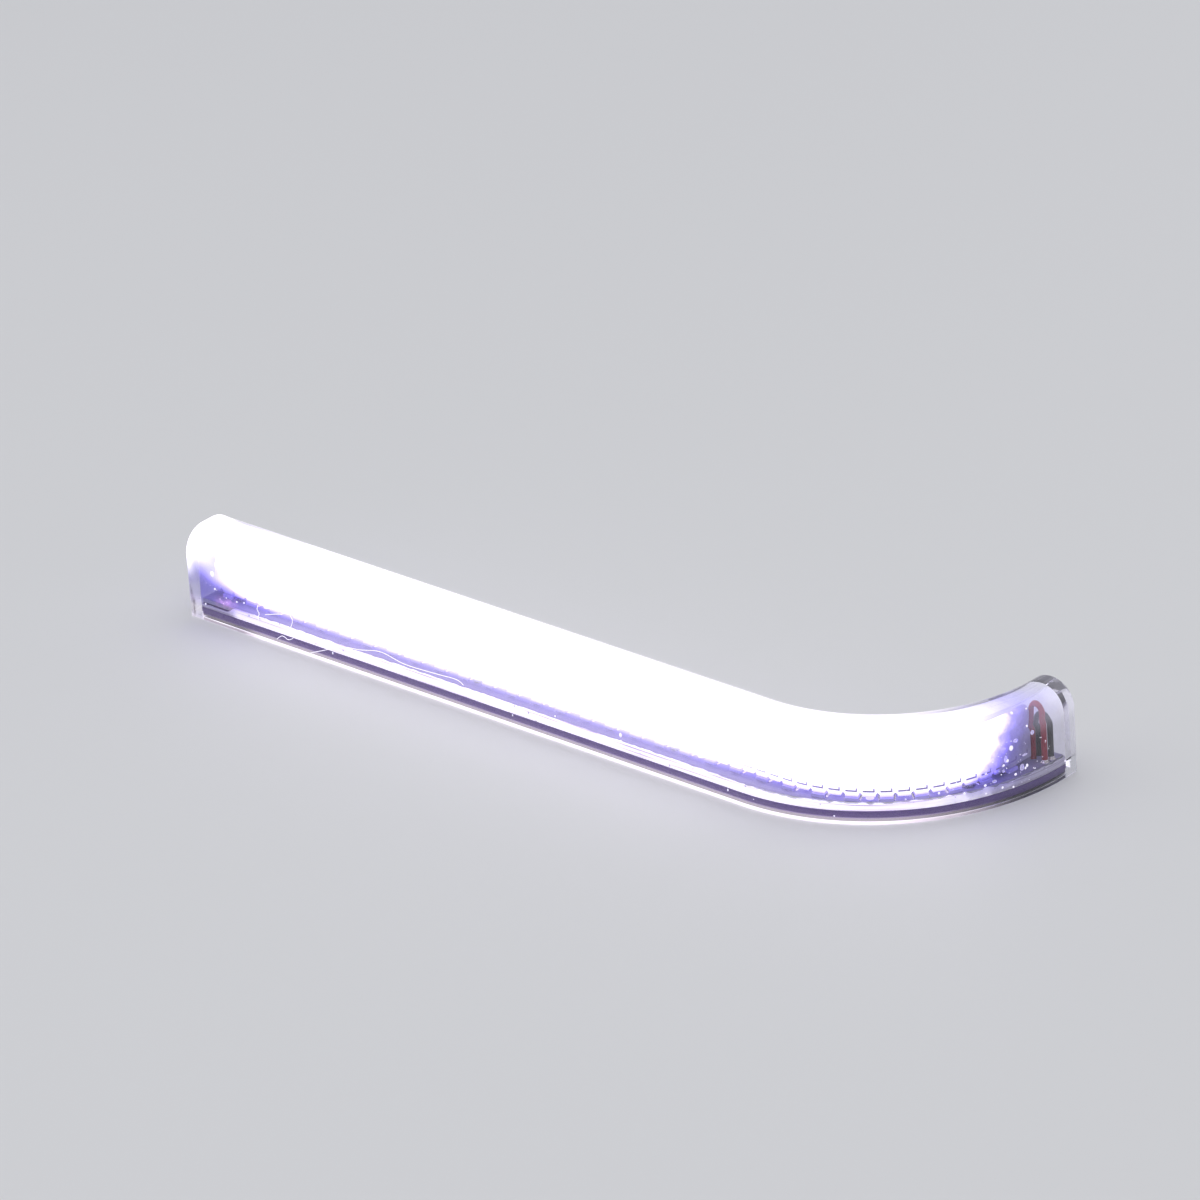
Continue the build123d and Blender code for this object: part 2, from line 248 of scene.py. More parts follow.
def mix(share, first, second, blend="MIX"):
    """Two colours mixed by a share."""
    made = node(share.id_data, "ShaderNodeMix", data_type="RGBA", blend_type=blend)
    for place, value in ((0, share), (6, first), (7, second)):
        feed(made.inputs[place], (*value, 1) if isinstance(value, tuple) else value)
    return made.outputs[2]


def noise_of(vector, scale, detail=2.0):
    """Value of a noise texture."""
    made = node(vector.id_data, "ShaderNodeTexNoise", Vector=vector, Scale=scale, Detail=detail)
    return made.outputs["Fac"]


def object_place(tree):
    """Place on the object, in metres."""
    return node(tree, "ShaderNodeTexCoord").outputs["Object"]


def bump(height, distance):
    """Normal from a height."""
    made = node(height.id_data, "ShaderNodeBump", Strength=1.0, Distance=distance, Height=height)
    return made.outputs["Normal"]


def vector_of(tree, x=0.0, y=0.0, z=0.0):
    """Vector from three values."""
    return node(tree, "ShaderNodeCombineXYZ", X=x, Y=y, Z=z).outputs[0]


def shader_group(name, inputs, outputs):
    """Empty shader group with named sockets; returns the tree, its input node and its output node."""
    tree = bpy.data.node_groups.new(name, "ShaderNodeTree")
    for label, value in inputs:
        socket = tree.interface.new_socket(label, in_out="INPUT", socket_type="NodeSocketFloat")
        socket.default_value = value
    for label in outputs:
        tree.interface.new_socket(label, in_out="OUTPUT", socket_type="NodeSocketFloat")
    return tree, node(tree, "NodeGroupInput").outputs, node(tree, "NodeGroupOutput").inputs


def use(tree, group, **values):
    """Place a shader group and return its outputs."""
    return node(tree, "ShaderNodeGroup", node_tree=group, **values).outputs


def new_material(name, colour, roughness, **sockets):
    """Material with a Principled shader; returns it, its tree and the shader's inputs."""
    material = bpy.data.materials.new(name)
    material.use_nodes = True
    inputs = material.node_tree.nodes["Principled BSDF"].inputs
    inputs["Base Color"].default_value = (*colour, 1)
    inputs["Roughness"].default_value = roughness
    for label, value in sockets.items():
        inputs[label.replace("_", " ")].default_value = value
    return material, material.node_tree, inputs


print("node helpers ready")

# %% [markdown]
# ## Where on the lamp am I?
# The light fades at both ends of the lamp and towards the board, so several finishes need to know how
# far along the lamp a point lies. A UV map could say so on new meshes, but the solids carry none.
# This group works it out from Object coordinates instead: the straight counts along X, and the bend
# counts the angle about its centre. It also gives the depth inwards from the outer wall and the
# height above the rim. Everything is in millimetres, which keeps the numbers readable.

# %% Shared group: place along the lamp
place_group, place_in, place_out = shader_group("place_along_lamp", (
    ("Start X", 0.0), ("Turn X", 0.0), ("Centre Y", 0.0), ("Radius", 0.05), ("Middle Radius", 0.05)),
    ("Along", "Depth", "Height"))
point = node(place_group, "ShaderNodeSeparateXYZ", Vector=object_place(place_group)).outputs
past_turn = maths("SUBTRACT", point["X"], place_in["Turn X"])
before_centre = maths("SUBTRACT", place_in["Centre Y"], point["Y"])
angle = maths("MAXIMUM", maths("ARCTAN2", past_turn, before_centre), 0.0)
to_turn = maths("SUBTRACT", place_in["Turn X"], place_in["Start X"])
straight = maths("ADD", maths("MINIMUM", past_turn, 0.0), to_turn)
along = maths("MULTIPLY_ADD", angle, place_in["Middle Radius"], straight)
across = maths("MAXIMUM", past_turn, 0.0)
ahead = maths("MAXIMUM", before_centre, 0.0)
from_centre = maths("SQRT", maths("MULTIPLY_ADD", across, across, times(ahead, ahead)))
depth = maths("SUBTRACT", place_in["Radius"], from_centre)
for label, value in (("Along", along), ("Depth", depth), ("Height", point["Z"])):
    feed(place_out[label], maths("DIVIDE", value, mm))


def place_on(tree, run=outer_wall):
    """Place along a run, depth inwards from it and height above the rim, in millimetres."""
    return use(tree, place_group, Start_X=run.start_x, Turn_X=run.turn_x, Centre_Y=run.line_y + run.radius,
               Radius=run.radius, Middle_Radius=run.middle_radius)


print(place_group.name, "gives", ", ".join(socket.name for socket in place_out if socket.name))

# %% [markdown]
# ## How brightly is this place lit?
# The first diode throws its light up in a fan, so the lit part starts later near the board than near
# the top, and at the tip it stops in a ragged slant. This group turns the place along the lamp into a
# mask from 0 to 1. `Reach` moves the end of the light, `Soft` is the width of its fade, and `Ragged`
# is how far its edge wanders.

# %% Shared group: lit share
fan_edge = (12.0, 22.0)
end_slant = -0.6
edge_scale = 420.0

lit_group, lit_in, lit_out = shader_group(
    "lit_share", (("Reach", 203.0), ("Soft", 6.0), ("Ragged", 5.0)), ("Lit",))
along, _, height = place_on(lit_group)
rough_edge = noise_of(object_place(lit_group), edge_scale, 3.0)
wander = times(maths("SUBTRACT", rough_edge, 0.5), lit_in["Ragged"])
left_share = ease(maths("ADD", along, height), *fan_edge)
slant = maths("MULTIPLY_ADD", height, end_slant, along)
past_end = maths("ADD", maths("SUBTRACT", slant, lit_in["Reach"]), wander)
right_share = ease(maths("DIVIDE", past_end, lit_in["Soft"]), -1.0, 1.0, 1.0, 0.0)
feed(lit_out["Lit"], times(left_share, right_share))
print(lit_group.name, "has", len(lit_group.nodes), "nodes")

# %% [markdown]
# ## Grain and handling marks
# Moulded plastic is never quite even. One group gives a fine moulded grain for bump and roughness.
# Another gives the marks of handling: wide faint smudges and small specks of dust. Both are used at
# different scales by most of the finishes below.

# %% Shared groups: grain and handling marks
grain_group, grain_in, grain_out = shader_group(
    "moulded_grain", (("Scale", 4000.0), ("Low", 0.4), ("High", 0.6)), ("Height", "Roughness"))
grain_height = noise_of(object_place(grain_group), grain_in["Scale"], 4.0)
feed(grain_out["Height"], grain_height)
feed(grain_out["Roughness"], ease(grain_height, 0.3, 0.7, grain_in["Low"], grain_in["High"]))

marks_group, marks_in, marks_out = shader_group(
    "handling_marks", (("Smudge Scale", 60.0), ("Dust Scale", 900.0), ("Dust", 0.3)), ("Smudge", "Dust"))
smudge = noise_of(object_place(marks_group), marks_in["Smudge Scale"], 5.0)
feed(marks_out["Smudge"], ease(smudge, 0.45, 0.75))
dust_cells = node(marks_group, "ShaderNodeTexVoronoi", Vector=object_place(marks_group),
                  Scale=marks_in["Dust Scale"]).outputs
speck = ease(dust_cells["Distance"], 0.05, 0.16, 1.0, 0.0)
feed(marks_out["Dust"], times(speck, marks_in["Dust"]))


def add_grain(tree, inputs, scale, low, high, relief=0.0):
    """Grain in a shader's roughness, and in its relief where a depth is given; returns its height."""
    grain = use(tree, grain_group, Scale=scale, Low=low, High=high)
    feed(inputs["Roughness"], grain["Roughness"])
    if relief:
        feed(inputs["Normal"], bump(grain["Height"], relief))
    return grain["Height"]


print("shader groups:", ", ".join(group.name for group in bpy.data.node_groups))

# %% [markdown]
# ## Clear lens: the finish
# The lens is clear plastic with a very faint violet cast. While the lamp is lit, light scatters in
# the dome, so the dome fills with white and fades through lavender to clear at the foot and the tip.
# Light that runs down inside the wall leaves at the rim, which shows as a bright edge, and a pink
# smear glows where the straight begins. All of these are emission on the lens itself. Just past the
# light, at both ends, violet light is painted into the plastic's base colour. The shader lets shadow
# rays through, so that lamps reach what is inside.

# %% Clear lens finish
lavender = (0.50, 0.44, 1.0)
pale_lavender = (0.80, 0.76, 1.0)
deep_violet = (0.10, 0.07, 0.42)
lit_white = (1.0, 0.97, 1.0)
rim_white = (1.0, 0.88, 1.0)
tip_glow_white = (0.85, 0.83, 1.0)
smear_pink = (0.26, 0.12, 0.22)
pale_foot = (0.34, 0.31, 0.46)
dark = (0.0, 0.0, 0.0)
clear_tint = (0.91, 0.90, 0.97)
painted_violet_light = (0.46, 0.41, 0.95)
shadow_tint = (0.9, 0.89, 0.95, 1)

straight_share, dome_share, end_share = 0.6, 0.24, 0.8
rim_share, rim_start_share = 0.4, 0.35
tip_glow_peak = 0.1
violet_start_share = 0.7

# Millimetres along the lamp between which a look changes
left_end = (0.0, 28.0)
middle_start = (22.0, 46.0)
bend_start = (138.0, 172.0)
tip_start = (210.0, 220.0)
rim_start = (10.0, 34.0)
violet_start_span = (3.0, 34.0)
end_wall_depth = (0.6, 3.4)
smear_along = (8.8, 13.2)

# Millimetres above the rim, and inwards from the outer wall, between which a look changes
glow_foot, middle_drop = 7.2, 0.6
full_at_left, full_on_straight, bend_rise = 15.5, 9.3, 0.9
end_wall_rise = (8.5, 14.5)
wall_top = (10.5, 13.5)
tip_rise = (12.0, 17.0)
rim_edge = (0.6, 1.05)
violet_foot = (2.5, 5.0)
smear_height = (4.9, 7.0)
front_wall = (3.0, 5.0)


def dome_glow(here, lit):
    """Colour of the light that scatters in the wall and dome, and the lit share of each place."""
    along, _, height = here
    bend = ease(along, *bend_start)
    middle = times(ease(along, *middle_start), inverse(bend))
    level_full = ease(along, *left_end, full_at_left, full_on_straight)
    full_height = maths("MULTIPLY_ADD", bend, bend_rise, level_full)
    foot = maths("MULTIPLY_ADD", middle, -middle_drop, glow_foot)
    shine = times(lit, ease(height, foot, full_height))
    violet = ramp(shine, (0.0, dark), (0.22, deep_violet), (0.5, lavender), (0.75, pale_lavender),
                  (1.0, lit_white))
    pale = ramp(shine, (0.0, dark), (0.5, pale_foot), (1.0, lit_white))
    end_wall = times(ease(along, *end_wall_depth, 1.0, 0.0), ease(height, *end_wall_rise))
    foot_share = ease(bend, 0.0, 1.0, straight_share, dome_share)
    wall_share = ease(height, *wall_top, foot_share, dome_share)
    share = ease(end_wall, 0.0, 1.0, wall_share, end_share)
    return mix(share, dark, mix(end_wall, mix(middle, violet, pale), lit_white)), shine


def rim_glow(tree, here):
    """Share of the light that leaves at the rim."""
    along, _, height = here
    reached = use(tree, lit_group, Reach=200.0, Soft=16.0)["Lit"]
    before = ease(along, *rim_start, rim_start_share, 0.0)
    return times(ease(height, *rim_edge, 1.0, 0.0), maths("MAXIMUM", reached, before), rim_share)


def pink_smear(tree, here):
    """Share of the blotched smear, on the front wall alone."""
    along, depth, height = here
    patch = times(band(along, *smear_along, 1.6), band(height, *smear_height, 0.9))
    blotch = ease(noise_of(object_place(tree), 700.0), 0.35, 0.6)
    return times(patch, blotch, ease(depth, *front_wall, 1.0, 0.0))


def violet_stain(tree, here, lit, shine):
    """Share of painted violet light in the plastic's colour, just past the lit part at both ends."""
    along, _, height = here
    fringe = use(tree, lit_group, Reach=208.0, Soft=9.0, Ragged=8.0)["Lit"]
    at_tip = maths("SUBTRACT", fringe, lit, clamp=True)
    at_start = times(ease(along, *violet_start_span, violet_start_share, 0.0), inverse(shine))
    return times(maths("MAXIMUM", at_tip, at_start), ease(height, *violet_foot))


def let_lamps_through(tree):
    """Let shadow rays pass the shader."""
    choice = node(tree, "ShaderNodeMixShader").inputs
    feed(choice[0], node(tree, "ShaderNodeLightPath").outputs["Is Shadow Ray"])
    feed(choice[1], tree.nodes["Principled BSDF"].outputs[0])
    feed(choice[2], node(tree, "ShaderNodeBsdfTransparent", Color=shadow_tint).outputs[0])
    feed(tree.nodes["Material Output"].inputs["Surface"], choice[0].node.outputs[0])


def make_lens_finish():
    """Clear plastic that glows where the guide lights it."""
    material, tree, inputs = new_material("clear_lens_finish", clear_tint, 0.03, IOR=1.49,
                                          Emission_Strength=1.0, Transmission_Weight=1.0)
    here = place_on(tree)
    along, _, height = here
    lit = use(tree, lit_group, Reach=202.0, Soft=7.0)["Lit"]
    glow, shine = dome_glow(here, lit)
    # Faint painted white glow near the top of the tip.
    tip_glow_share = times(ease(along, *tip_start, 0.0, tip_glow_peak), ease(height, *tip_rise))
    glow = mix(tip_glow_share, glow, tip_glow_white, "ADD")
    glow = mix(pink_smear(tree, here), glow, smear_pink, "ADD")
    feed(inputs["Emission Color"], mix(rim_glow(tree, here), glow, rim_white, "ADD"))
    # Painted violet light in the base colour, just past the lit part at both ends.
    feed(inputs["Base Color"], mix(violet_stain(tree, here, lit, shine), clear_tint, painted_violet_light))
    marks = use(tree, marks_group, Smudge_Scale=45.0, Dust_Scale=700.0, Dust=0.5)
    smudged = maths("MULTIPLY_ADD", marks["Smudge"], 0.05, 0.02)
    feed(inputs["Roughness"], maths("MULTIPLY_ADD", marks["Dust"], 0.4, smudged))
    let_lamps_through(tree)
    return material


lens_finish = make_lens_finish()
print(lens_finish.name, "has", len(lens_finish.node_tree.nodes), "nodes")

# %% [markdown]
# ## Clear lens: the shape
# The solid of the lens has the right form, but its triangles are too coarse to look through: clear
# plastic bends what lies behind it, and every facet would show. A path with a bevel can't make it
# either, because the two walls bend about different centres and the lens narrows towards its tip.
# So it is lofted in code. Each ring of points has one half on the outer wall's frame and the other
# half on the inner wall's frame. One skin of rings makes the outside and another the inside, and
# both are joined along the rim. The rim and the ends have small rounded edges that catch the light.
# The inner skin stays a hair off the sealant, because two faces at one place would render as noise.

# %% Clear lens
tip_flat = 0.2 * mm
dome_radius = (tip_width - tip_flat) / 2
shoulder = lens_high.z - dome_radius
end_edge_round = 0.8 * mm
cavity_edge_round = 0.2 * mm
rim_edge_round = 0.18 * mm
seal_gap = 0.03 * mm
corner_steps, wall_steps, dome_steps = 6, 6, 16
straight_steps, bend_steps = 24, 72


def quarter(steps):
    """Angles from 0 to a right angle."""
    return [radians(90 * step / steps) for step in range(steps + 1)]


def half_section(margin, rim_side):
    """Half of the lens section, from the rim to the crown, as (depth, height) points."""
    radius = dome_radius - margin
    foot = [(margin + rim_side * rim_edge_round * (1 - sin(a)), rim_edge_round * (1 - cos(a)))
            for a in quarter(corner_steps)]
    wall = [(margin, rim_edge_round + (shoulder - rim_edge_round) * step / wall_steps)
            for step in range(1, wall_steps)]
    dome = [(dome_radius - radius * cos(a), shoulder + radius * sin(a)) for a in quarter(dome_steps)]
    return foot + wall + dome


def wall_frame(run, wall_reach, end_gap, share):
    """Turn, straight distance and leg of a wall at a share: 0 to 1 on the straight, 1 to 2 after it."""
    centre_y = run.line_y + run.radius
    end_y = run.end_y - end_gap
    leg = max(end_y - centre_y, 0)
    full_turn = pi / 2 if leg > 0 else acos((centre_y - end_y) / wall_reach)
    along = max(share - 1, 0) * (wall_reach * full_turn + leg)
    x = run.start_x + end_gap + min(share, 1) * (run.turn_x - run.start_x - end_gap)
    return min(along / wall_reach, full_turn), x, max(along - wall_reach * full_turn, 0)


def lens_ring(margin, end_gap, share, rim_side):
    """One ring of points round the lens, from the outer rim over the crown to the inner rim."""
    points = []
    for run, side in ((outer_wall, 1), (inner_wall, -1)):
        turn, x, leg = wall_frame(run, run.radius - side * margin, end_gap, share)
        half = []
        for depth, height in half_section(margin, rim_side):
            reach = run.radius - side * depth
            y = run.line_y + run.radius - reach * cos(turn) + leg
            half.append((x + reach * sin(turn), run.end_y - end_gap if share == 2 else y, height))
        points += half if side == 1 else half[::-1]
    return points


def lens_skin(margin, end_gap, edge_round, rim_side):
    """Rings of one skin, with rounded edges at both ends."""
    shares = [step / straight_steps for step in range(straight_steps + 1)]
    shares += [1 + step / bend_steps for step in range(1, bend_steps + 1)]
    gaps = [edge_round * (1 - cos(a)) for a in quarter(corner_steps)[:-1]]
    eased = [(edge_round - (edge_round ** 2 - (edge_round - gap) ** 2) ** 0.5, gap) for gap in gaps]
    rings = [lens_ring(margin + inset, end_gap + gap, 0, rim_side) for inset, gap in eased]
    rings += [lens_ring(margin, end_gap + edge_round, share, rim_side) for share in shares]
    return rings + [lens_ring(margin + inset, end_gap + gap, 2, rim_side) for inset, gap in eased[::-1]]


def make_lens_mesh():
    """Closed mesh of the lens: outer skin, inner skin and the rim between them."""
    work = bmesh.new()
    skins = []
    for margin, edge_round, rim_side in (
            (0.0, end_edge_round, 1), (lens_wall - seal_gap, cavity_edge_round, -1)):
        rings = lens_skin(margin, margin, edge_round, rim_side)
        skins.append([[work.verts.new(point) for point in ring] for ring in rings])
        bridge(work, skins[-1], closed=False)
    outside, inside = skins
    for place in (0, -1):
        for ring, after, inner, inner_after in zip(outside, outside[1:], inside, inside[1:]):
            work.faces.new((ring[place], after[place], inner_after[place], inner[place]))
        work.faces.new((outside[place][0], inside[place][0], inside[place][-1], outside[place][-1]))
    return outward_mesh(work, "clear_lens")


lens_blank = make_lens_mesh()
print("lens blank", len(lens_blank.polygons), "faces")

# %% [markdown]
# ## Clear lens: the notch
# The rubber inlet for the cable sits in a notch in the skirt, on the inner side of the bend near the
# tip. A Boolean modifier cuts it out of the blank with a turned block, and the result is kept as a
# plain mesh.

# %% Inlet notch
inlet_turn = radians(81.8)
inlet_width = 3.6 * mm
inlet_reach = 3.95 * mm
housing_low, housing_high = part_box("housing")


def make_inlet_cutter():
    """Block that notches the skirt where the cable inlet sits."""
    work = bmesh.new()
    bmesh.ops.create_cube(work, size=1.0)
    heading = Matrix.Rotation(inlet_turn - pi / 2, 4, "Z")
    middle = inner_radius + (inlet_reach - lens_wall) / 2
    centre = Vector((turn_x + middle * sin(inlet_turn),
                     inner_wall.line_y + inner_radius - middle * cos(inlet_turn), 0))
    size = Matrix.Diagonal((inlet_reach + lens_wall, inlet_width, 2 * housing_high.z, 1))
    work.transform(Matrix.Translation(centre) @ heading @ size)
    return mesh_from(work, "inlet_cutter", smooth=False)


def cut(mesh, cutter_mesh):
    """First mesh with the second cut away."""
    body, cutter = (bpy.data.objects.new(part.name, part) for part in (mesh, cutter_mesh))
    scene.collection.objects.link(body)
    scene.collection.objects.link(cutter)
    step = body.modifiers.new("notch", "BOOLEAN")
    step.object = cutter
    step.operation = "DIFFERENCE"
    step.solver = "EXACT"
    graph = bpy.context.evaluated_depsgraph_get()
    result = bpy.data.meshes.new_from_object(body.evaluated_get(graph))
    bpy.data.objects.remove(body)
    bpy.data.objects.remove(cutter)
    return result


lens_mesh = cut(lens_blank, make_inlet_cutter())
new_piece("clear_lens", lens_mesh, lens_finish, ("outer_lens",))

# %% [markdown]
# ## Light guide
# The blade is the part that shines. Its solid already has the rounded top, the pegs and the notches
# between the teeth, so only the finish is new. Light enters at the teeth, where it still looks
# lavender, and has turned to white a little higher up. In the bend, dim dashes with a short tick are
# painted shade at the roots of the teeth.

# %% Light guide finish
led_first = 3.5 * mm
led_pitch = 7.0 * mm
led_count = 31
tooth_half = led_pitch / 4 / mm
blade_foot = (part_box("led_packages")[1].z + 0.4 * mm) / mm
acrylic = (0.60, 0.58, 0.70)
acrylic_shade = (0.16, 0.14, 0.22)
dash_shade = (0.09, 0.075, 0.15)
dash_begin = (125.0, 160.0)
dash_width, tick_width = (-1.2, 1.2), (0.9, 1.2)
dash_rise, tick_rise = (1.05, 1.45), (1.05, 2.0)


def dress(node_name, material):
    """Give a solid its finish."""
    coat(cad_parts[node_name].data, material)


def make_guide_finish():
    """Glowing acrylic: lavender at the teeth, white above them, with painted shade dashes at the roots in the
    bend.
    """
    material, tree, inputs = new_material("lit_guide_finish", acrylic, 0.25, IOR=1.49, Emission_Strength=1.3)
    along, _, height = place_on(tree, guide_run)
    lit = use(tree, lit_group, Reach=204.0, Soft=5.0, Ragged=8.0)["Lit"]
    foot = maths("SUBTRACT", height, blade_foot)
    bend = ease(along, *dash_begin)
    lift = maths("MAXIMUM", ease(foot, -0.2, 2.4, 0.42, 1.0), times(bend, ease(foot, 0.3, 0.55, 0.45, 0.9)))
    shade = ramp(times(lit, lift), (0.0, dark), (0.2, deep_violet), (0.45, lavender), (0.7, pale_lavender),
                 (1.0, lit_white))
    tooth = maths("WRAP", along, tooth_half, -tooth_half)
    # Painted shade: dim dashes and ticks at the roots of the teeth, in the bend.
    dash = times(band(foot, *dash_rise, 0.05), band(tooth, *dash_width))
    tick = times(band(foot, *tick_rise, 0.05), band(tooth, *tick_width))
    root_shade = times(maths("MAXIMUM", dash, tick), bend)
    feed(inputs["Emission Color"], mix(root_shade, shade, dash_shade))
    feed(inputs["Base Color"], mix(root_shade, acrylic, acrylic_shade))
    add_grain(tree, inputs, 900.0, 0.18, 0.34)
    return material


dress("light_guide", make_guide_finish())
print("light guide dressed")

# %% [markdown]
# ## Back moulding, seal and pad
# The moulding that closes the back is black plastic with a fine moulded grain. It shows through the
# skirt of the lens as a dark band, and the violet cast of the light above it is painted into the colour
# of its sides. The sealant in its groove is soft and uneven, and the pad under the board is a matt grey.

# %% Back moulding, seal and pad finishes
moulding_black = (0.030, 0.026, 0.038)
moulding_painted_violet = (0.135, 0.082, 0.262)


def make_finish(name, colour, low, high, scale, relief=0.0, marks=0.0, shade=1.0, glow=(), **sockets):
    """Finish with a grain of a scale in its roughness, from low to high, and in its relief.

    Marks lay dust and smudges over the colour. A shade below 1 darkens the colour along the grain.
    A glow is a pair of colours that the grain mixes.
    """
    material, tree, inputs = new_material(name, colour, high, **sockets)
    grain = add_grain(tree, inputs, scale, low, high, relief)
    if marks:
        dusty = use(tree, marks_group, Smudge_Scale=80.0, Dust_Scale=1100.0, Dust=marks)
        paler = tuple(0.6 * channel + 0.25 for channel in colour)
        share = maths("MULTIPLY_ADD", dusty["Smudge"], 0.12, dusty["Dust"], clamp=True)
        feed(inputs["Base Color"], mix(share, colour, paler))
    if shade < 1:
        feed(inputs["Base Color"], mix(grain, tuple(shade * channel for channel in colour), colour))
    if glow:
        feed(inputs["Emission Color"], mix(grain, *glow))
    return material


def make_moulding_finish():
    """Black moulded plastic, with violet light painted on the sides that the light in the wall reaches."""
    material = make_finish("black_moulding_finish", moulding_black, 0.38, 0.58, 5200.0, 0.02 * mm, 0.12)
    tree = material.node_tree
    base = tree.nodes["Principled BSDF"].inputs["Base Color"]
    above_foot = maths("SUBTRACT", place_on(tree)["Height"], housing_low.z / mm)
    # Painted violet light on the sides, above the foot.
    feed(base, mix(ease(above_foot, 0.05, 0.4), base.links[0].from_socket, moulding_painted_violet))
    return material


moulding_finish = make_moulding_finish()
dress("housing", moulding_finish)
dress("vent_cap", moulding_finish)
for node_name, name, *values in (
        ("sealing_bead", "sealant_finish", (0.150, 0.092, 0.295), 0.25, 0.5, 900.0, 0.08 * mm),
        ("thermal_pad", "thermal_pad_finish", (0.30, 0.31, 0.38), 0.7, 0.9, 3500.0, 0.03 * mm),
        ("vent_membrane", "membrane_finish", (0.80, 0.80, 0.78), 0.75, 0.95, 9000.0, 0.01 * mm),
        ("cable_grommet", "inlet_rubber_finish", (0.028, 0.026, 0.034), 0.55, 0.8, 2600.0, 0.03 * mm, 0.3)):
    dress(node_name, make_finish(name, *values))
print("back dressed")

# %% [markdown]
# ## Small helpers for geometry nodes
# What repeats or follows a path is made by Geometry Nodes. Each tree has named inputs for its sizes,
# and it ends by making its copies real and giving them their material. `grow` sets the inputs, runs
# the tree on a seed mesh and keeps the result as a plain mesh, so no modifier is left behind.

# %% Helpers for geometry nodes


def geometry_tree(name, inputs):
    """Empty geometry tree with named inputs; returns the tree, its input node and its output node."""
    tree = bpy.data.node_groups.new(name, "GeometryNodeTree")
    tree.interface.new_socket("Geometry", in_out="INPUT", socket_type="NodeSocketGeometry")
    for label, kind, value in inputs:
        socket = tree.interface.new_socket(label, in_out="INPUT", socket_type="NodeSocket" + kind)
        if value is not None:
            socket.default_value = value
    tree.interface.new_socket("Geometry", in_out="OUTPUT", socket_type="NodeSocketGeometry")
    return tree, node(tree, "NodeGroupInput").outputs, node(tree, "NodeGroupOutput").inputs


def shaped(tree, kind, **values):
    """Shape that a new geometry node puts out."""
    return node(tree, "GeometryNode" + kind, **values).outputs[0]


def round_bar(tree, path, radius, sides):
    """Bar swept along a path and closed at its ends."""
    profile = shaped(tree, "CurvePrimitiveCircle", mode="RADIUS", Resolution=sides, Radius=radius)
    return shaped(tree, "CurveToMesh", Curve=path, Profile_Curve=profile, Fill_Caps=True)


def close_tree(tree, geometry, material, sink):
    """Realize what was instanced, smooth it, give it its material and return the tree."""
    realized = shaped(tree, "RealizeInstances", Geometry=geometry)
    smooth = shaped(tree, "SetShadeSmooth", Geometry=realized)
    feed(sink["Geometry"], shaped(tree, "SetMaterial", Geometry=smooth, Material=material))
    return tree


def grow(name, tree, seed_mesh, **values):
    """Run a tree on a seed mesh and return the result as a plain mesh."""
    carrier = bpy.data.objects.new(name + "_seed", seed_mesh)
    scene.collection.objects.link(carrier)
    step = carrier.modifiers.new("grow", "NODES")
    step.node_group = tree
    for item in tree.interface.items_tree:
        key = item.name.replace(" ", "_")
        if item.in_out == "INPUT" and key in values:
            step[item.identifier] = values[key]
    graph = bpy.context.evaluated_depsgraph_get()
    mesh = bpy.data.meshes.new_from_object(carrier.evaluated_get(graph))
    mesh.name = name
    bpy.data.objects.remove(carrier)
    return mesh


def path_mesh(name, points, closed=False):
    """Seed mesh that is a chain of edges."""
    edges = [(step, step + 1) for step in range(len(points) - 1)]
    if closed:
        edges.append((len(points) - 1, 0))
    return plain_mesh(name, points, edges)


print("geometry helpers ready")

# %% [markdown]
# ## Glue line
# A milky line of glue joins the lens to the board all round. It lies against the inside of the wall
# and lights up white, with an uneven upper edge where it was pressed out, more so in the bend. At the
# start of the straight it thins to a tail. Noise on a plain strip could only roughen its face, so the
# strip itself is shaped: the path becomes a curve, a flat profile is swept along it, and noise lifts
# the upper edge. The tree's inputs are its sizes in metres.

# %% Glue line
glue_milk = (0.80, 0.77, 0.90)
glue_streak, streak_light = (0.44, 0.38, 0.54), (0.42, 0.30, 0.52)
bubble_shade = (0.22, 0.19, 0.32)
glue_start = (12.5, 40.0)
glue_thickness = 0.12 * mm
glue_low = 2.4 * mm
board_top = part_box("led_board")[1].z
wave_begin, wave_full = turn_x - 15 * mm, turn_x + 12 * mm
tail_end, tail_begin = lens_low.x + 10 * mm, lens_low.x + 13.5 * mm


def make_glue_finish():
    """Milky glue with a painted glow of the lamp's light, faint streaks and tiny dark bubbles."""
    material, tree, inputs = new_material("glue_finish", glue_milk, 0.35, Emission_Strength=0.85)
    along, _, height = place_on(tree)
    reached = use(tree, lit_group, Reach=203.0, Soft=12.0, Ragged=20.0)["Lit"]
    lit = maths("MAXIMUM", band(along, *glue_start, 1.5), reached)
    flow = vector_of(tree, times(along, 0.05), times(height, 3.0))
    streak = ease(noise_of(flow, 1.0), 0.5, 0.7)
    light = mix(lit, dark, mix(streak, lit_white, streak_light))
    bubbles = use(tree, marks_group, Dust_Scale=420.0, Dust=0.75)["Dust"]
    # Painted glow of the lamp's light in the glue, dark at the bubbles.
    feed(inputs["Emission Color"], mix(bubbles, light, dash_shade))
    feed(inputs["Base Color"], mix(bubbles, mix(streak, glue_milk, glue_streak), bubble_shade))
    add_grain(tree, inputs, 1500.0, 0.25, 0.5, 0.05 * mm)
    return material


